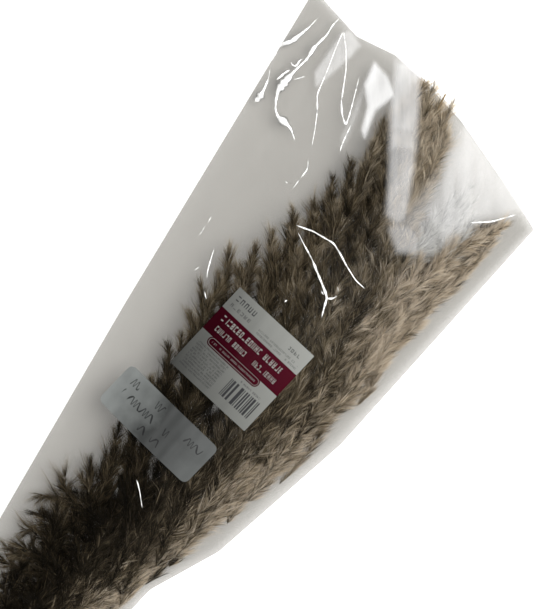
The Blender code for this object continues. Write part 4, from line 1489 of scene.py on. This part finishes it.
class BUNDLE_OT_film(bpy.types.Operator):
    """Add the clear film sleeve"""
    bl_idname = "bundle.film"
    bl_label = "Film sleeve"

    def execute(self, context):
        build_film(context.scene.bundle_film)
        return {"FINISHED"}


class BUNDLE_OT_creases(bpy.types.Operator):
    """Add the creases of the film, painted white as highlights"""
    bl_idname = "bundle.creases"
    bl_label = "Creases"

    def execute(self, context):
        build_creases()
        return {"FINISHED"}


class BUNDLE_OT_label(bpy.types.Operator):
    """Add the printed label"""
    bl_idname = "bundle.label"
    bl_label = "Label"

    def execute(self, context):
        build_label(context.scene.bundle_paper)
        return {"FINISHED"}


class BUNDLE_OT_sticker(bpy.types.Operator):
    """Add the white sticker with round corners"""
    bl_idname = "bundle.sticker"
    bl_label = "Sticker"

    def execute(self, context):
        build_sticker(context.scene.bundle_paper)
        return {"FINISHED"}


class BUNDLE_OT_stage(bpy.types.Operator):
    """Add the floor, the light and the camera"""
    bl_idname = "bundle.stage"
    bl_label = "Stage"

    def execute(self, context):
        build_stage(context.scene.bundle_stage)
        return {"FINISHED"}


class BUNDLE_PT_panel(bpy.types.Panel):
    """Lists the bundle's pieces"""
    bl_idname = "BUNDLE_PT_panel"
    bl_label = "Silver grass bundle"
    bl_space_type = "VIEW_3D"
    bl_region_type = "UI"
    bl_category = "Bundle"

    def draw(self, context):
        for operator in OPERATORS:
            self.layout.operator(operator.bl_idname)


OPERATORS = (BUNDLE_OT_stage, BUNDLE_OT_culms, BUNDLE_OT_plumes, BUNDLE_OT_film, BUNDLE_OT_creases,
             BUNDLE_OT_label, BUNDLE_OT_sticker)
SETTINGS = {"bundle_grass": GrassSettings, "bundle_film": FilmSettings, "bundle_paper": PaperSettings,
            "bundle_stage": StageSettings}


def register():
    """Adds the settings, the operators and the panel to Blender."""
    for group in SETTINGS.values():
        bpy.utils.register_class(group)
    for operator in OPERATORS:
        bpy.utils.register_class(operator)
    bpy.utils.register_class(BUNDLE_PT_panel)
    for name, group in SETTINGS.items():
        setattr(bpy.types.Scene, name, PointerProperty(type=group))


def unregister():
    """Takes away what register() added."""
    for name in SETTINGS:
        delattr(bpy.types.Scene, name)
    bpy.utils.unregister_class(BUNDLE_PT_panel)
    for operator in reversed(OPERATORS):
        bpy.utils.unregister_class(operator)
    for group in reversed(list(SETTINGS.values())):
        bpy.utils.unregister_class(group)


def main():
    """Builds the stage and the whole bundle."""
    register()
    bpy.ops.bundle.stage()
    bpy.ops.bundle.culms()
    bpy.ops.bundle.plumes()
    bpy.ops.bundle.film()
    bpy.ops.bundle.creases()
    bpy.ops.bundle.label()
    bpy.ops.bundle.sticker()


if __name__ == "__main__":
    main()
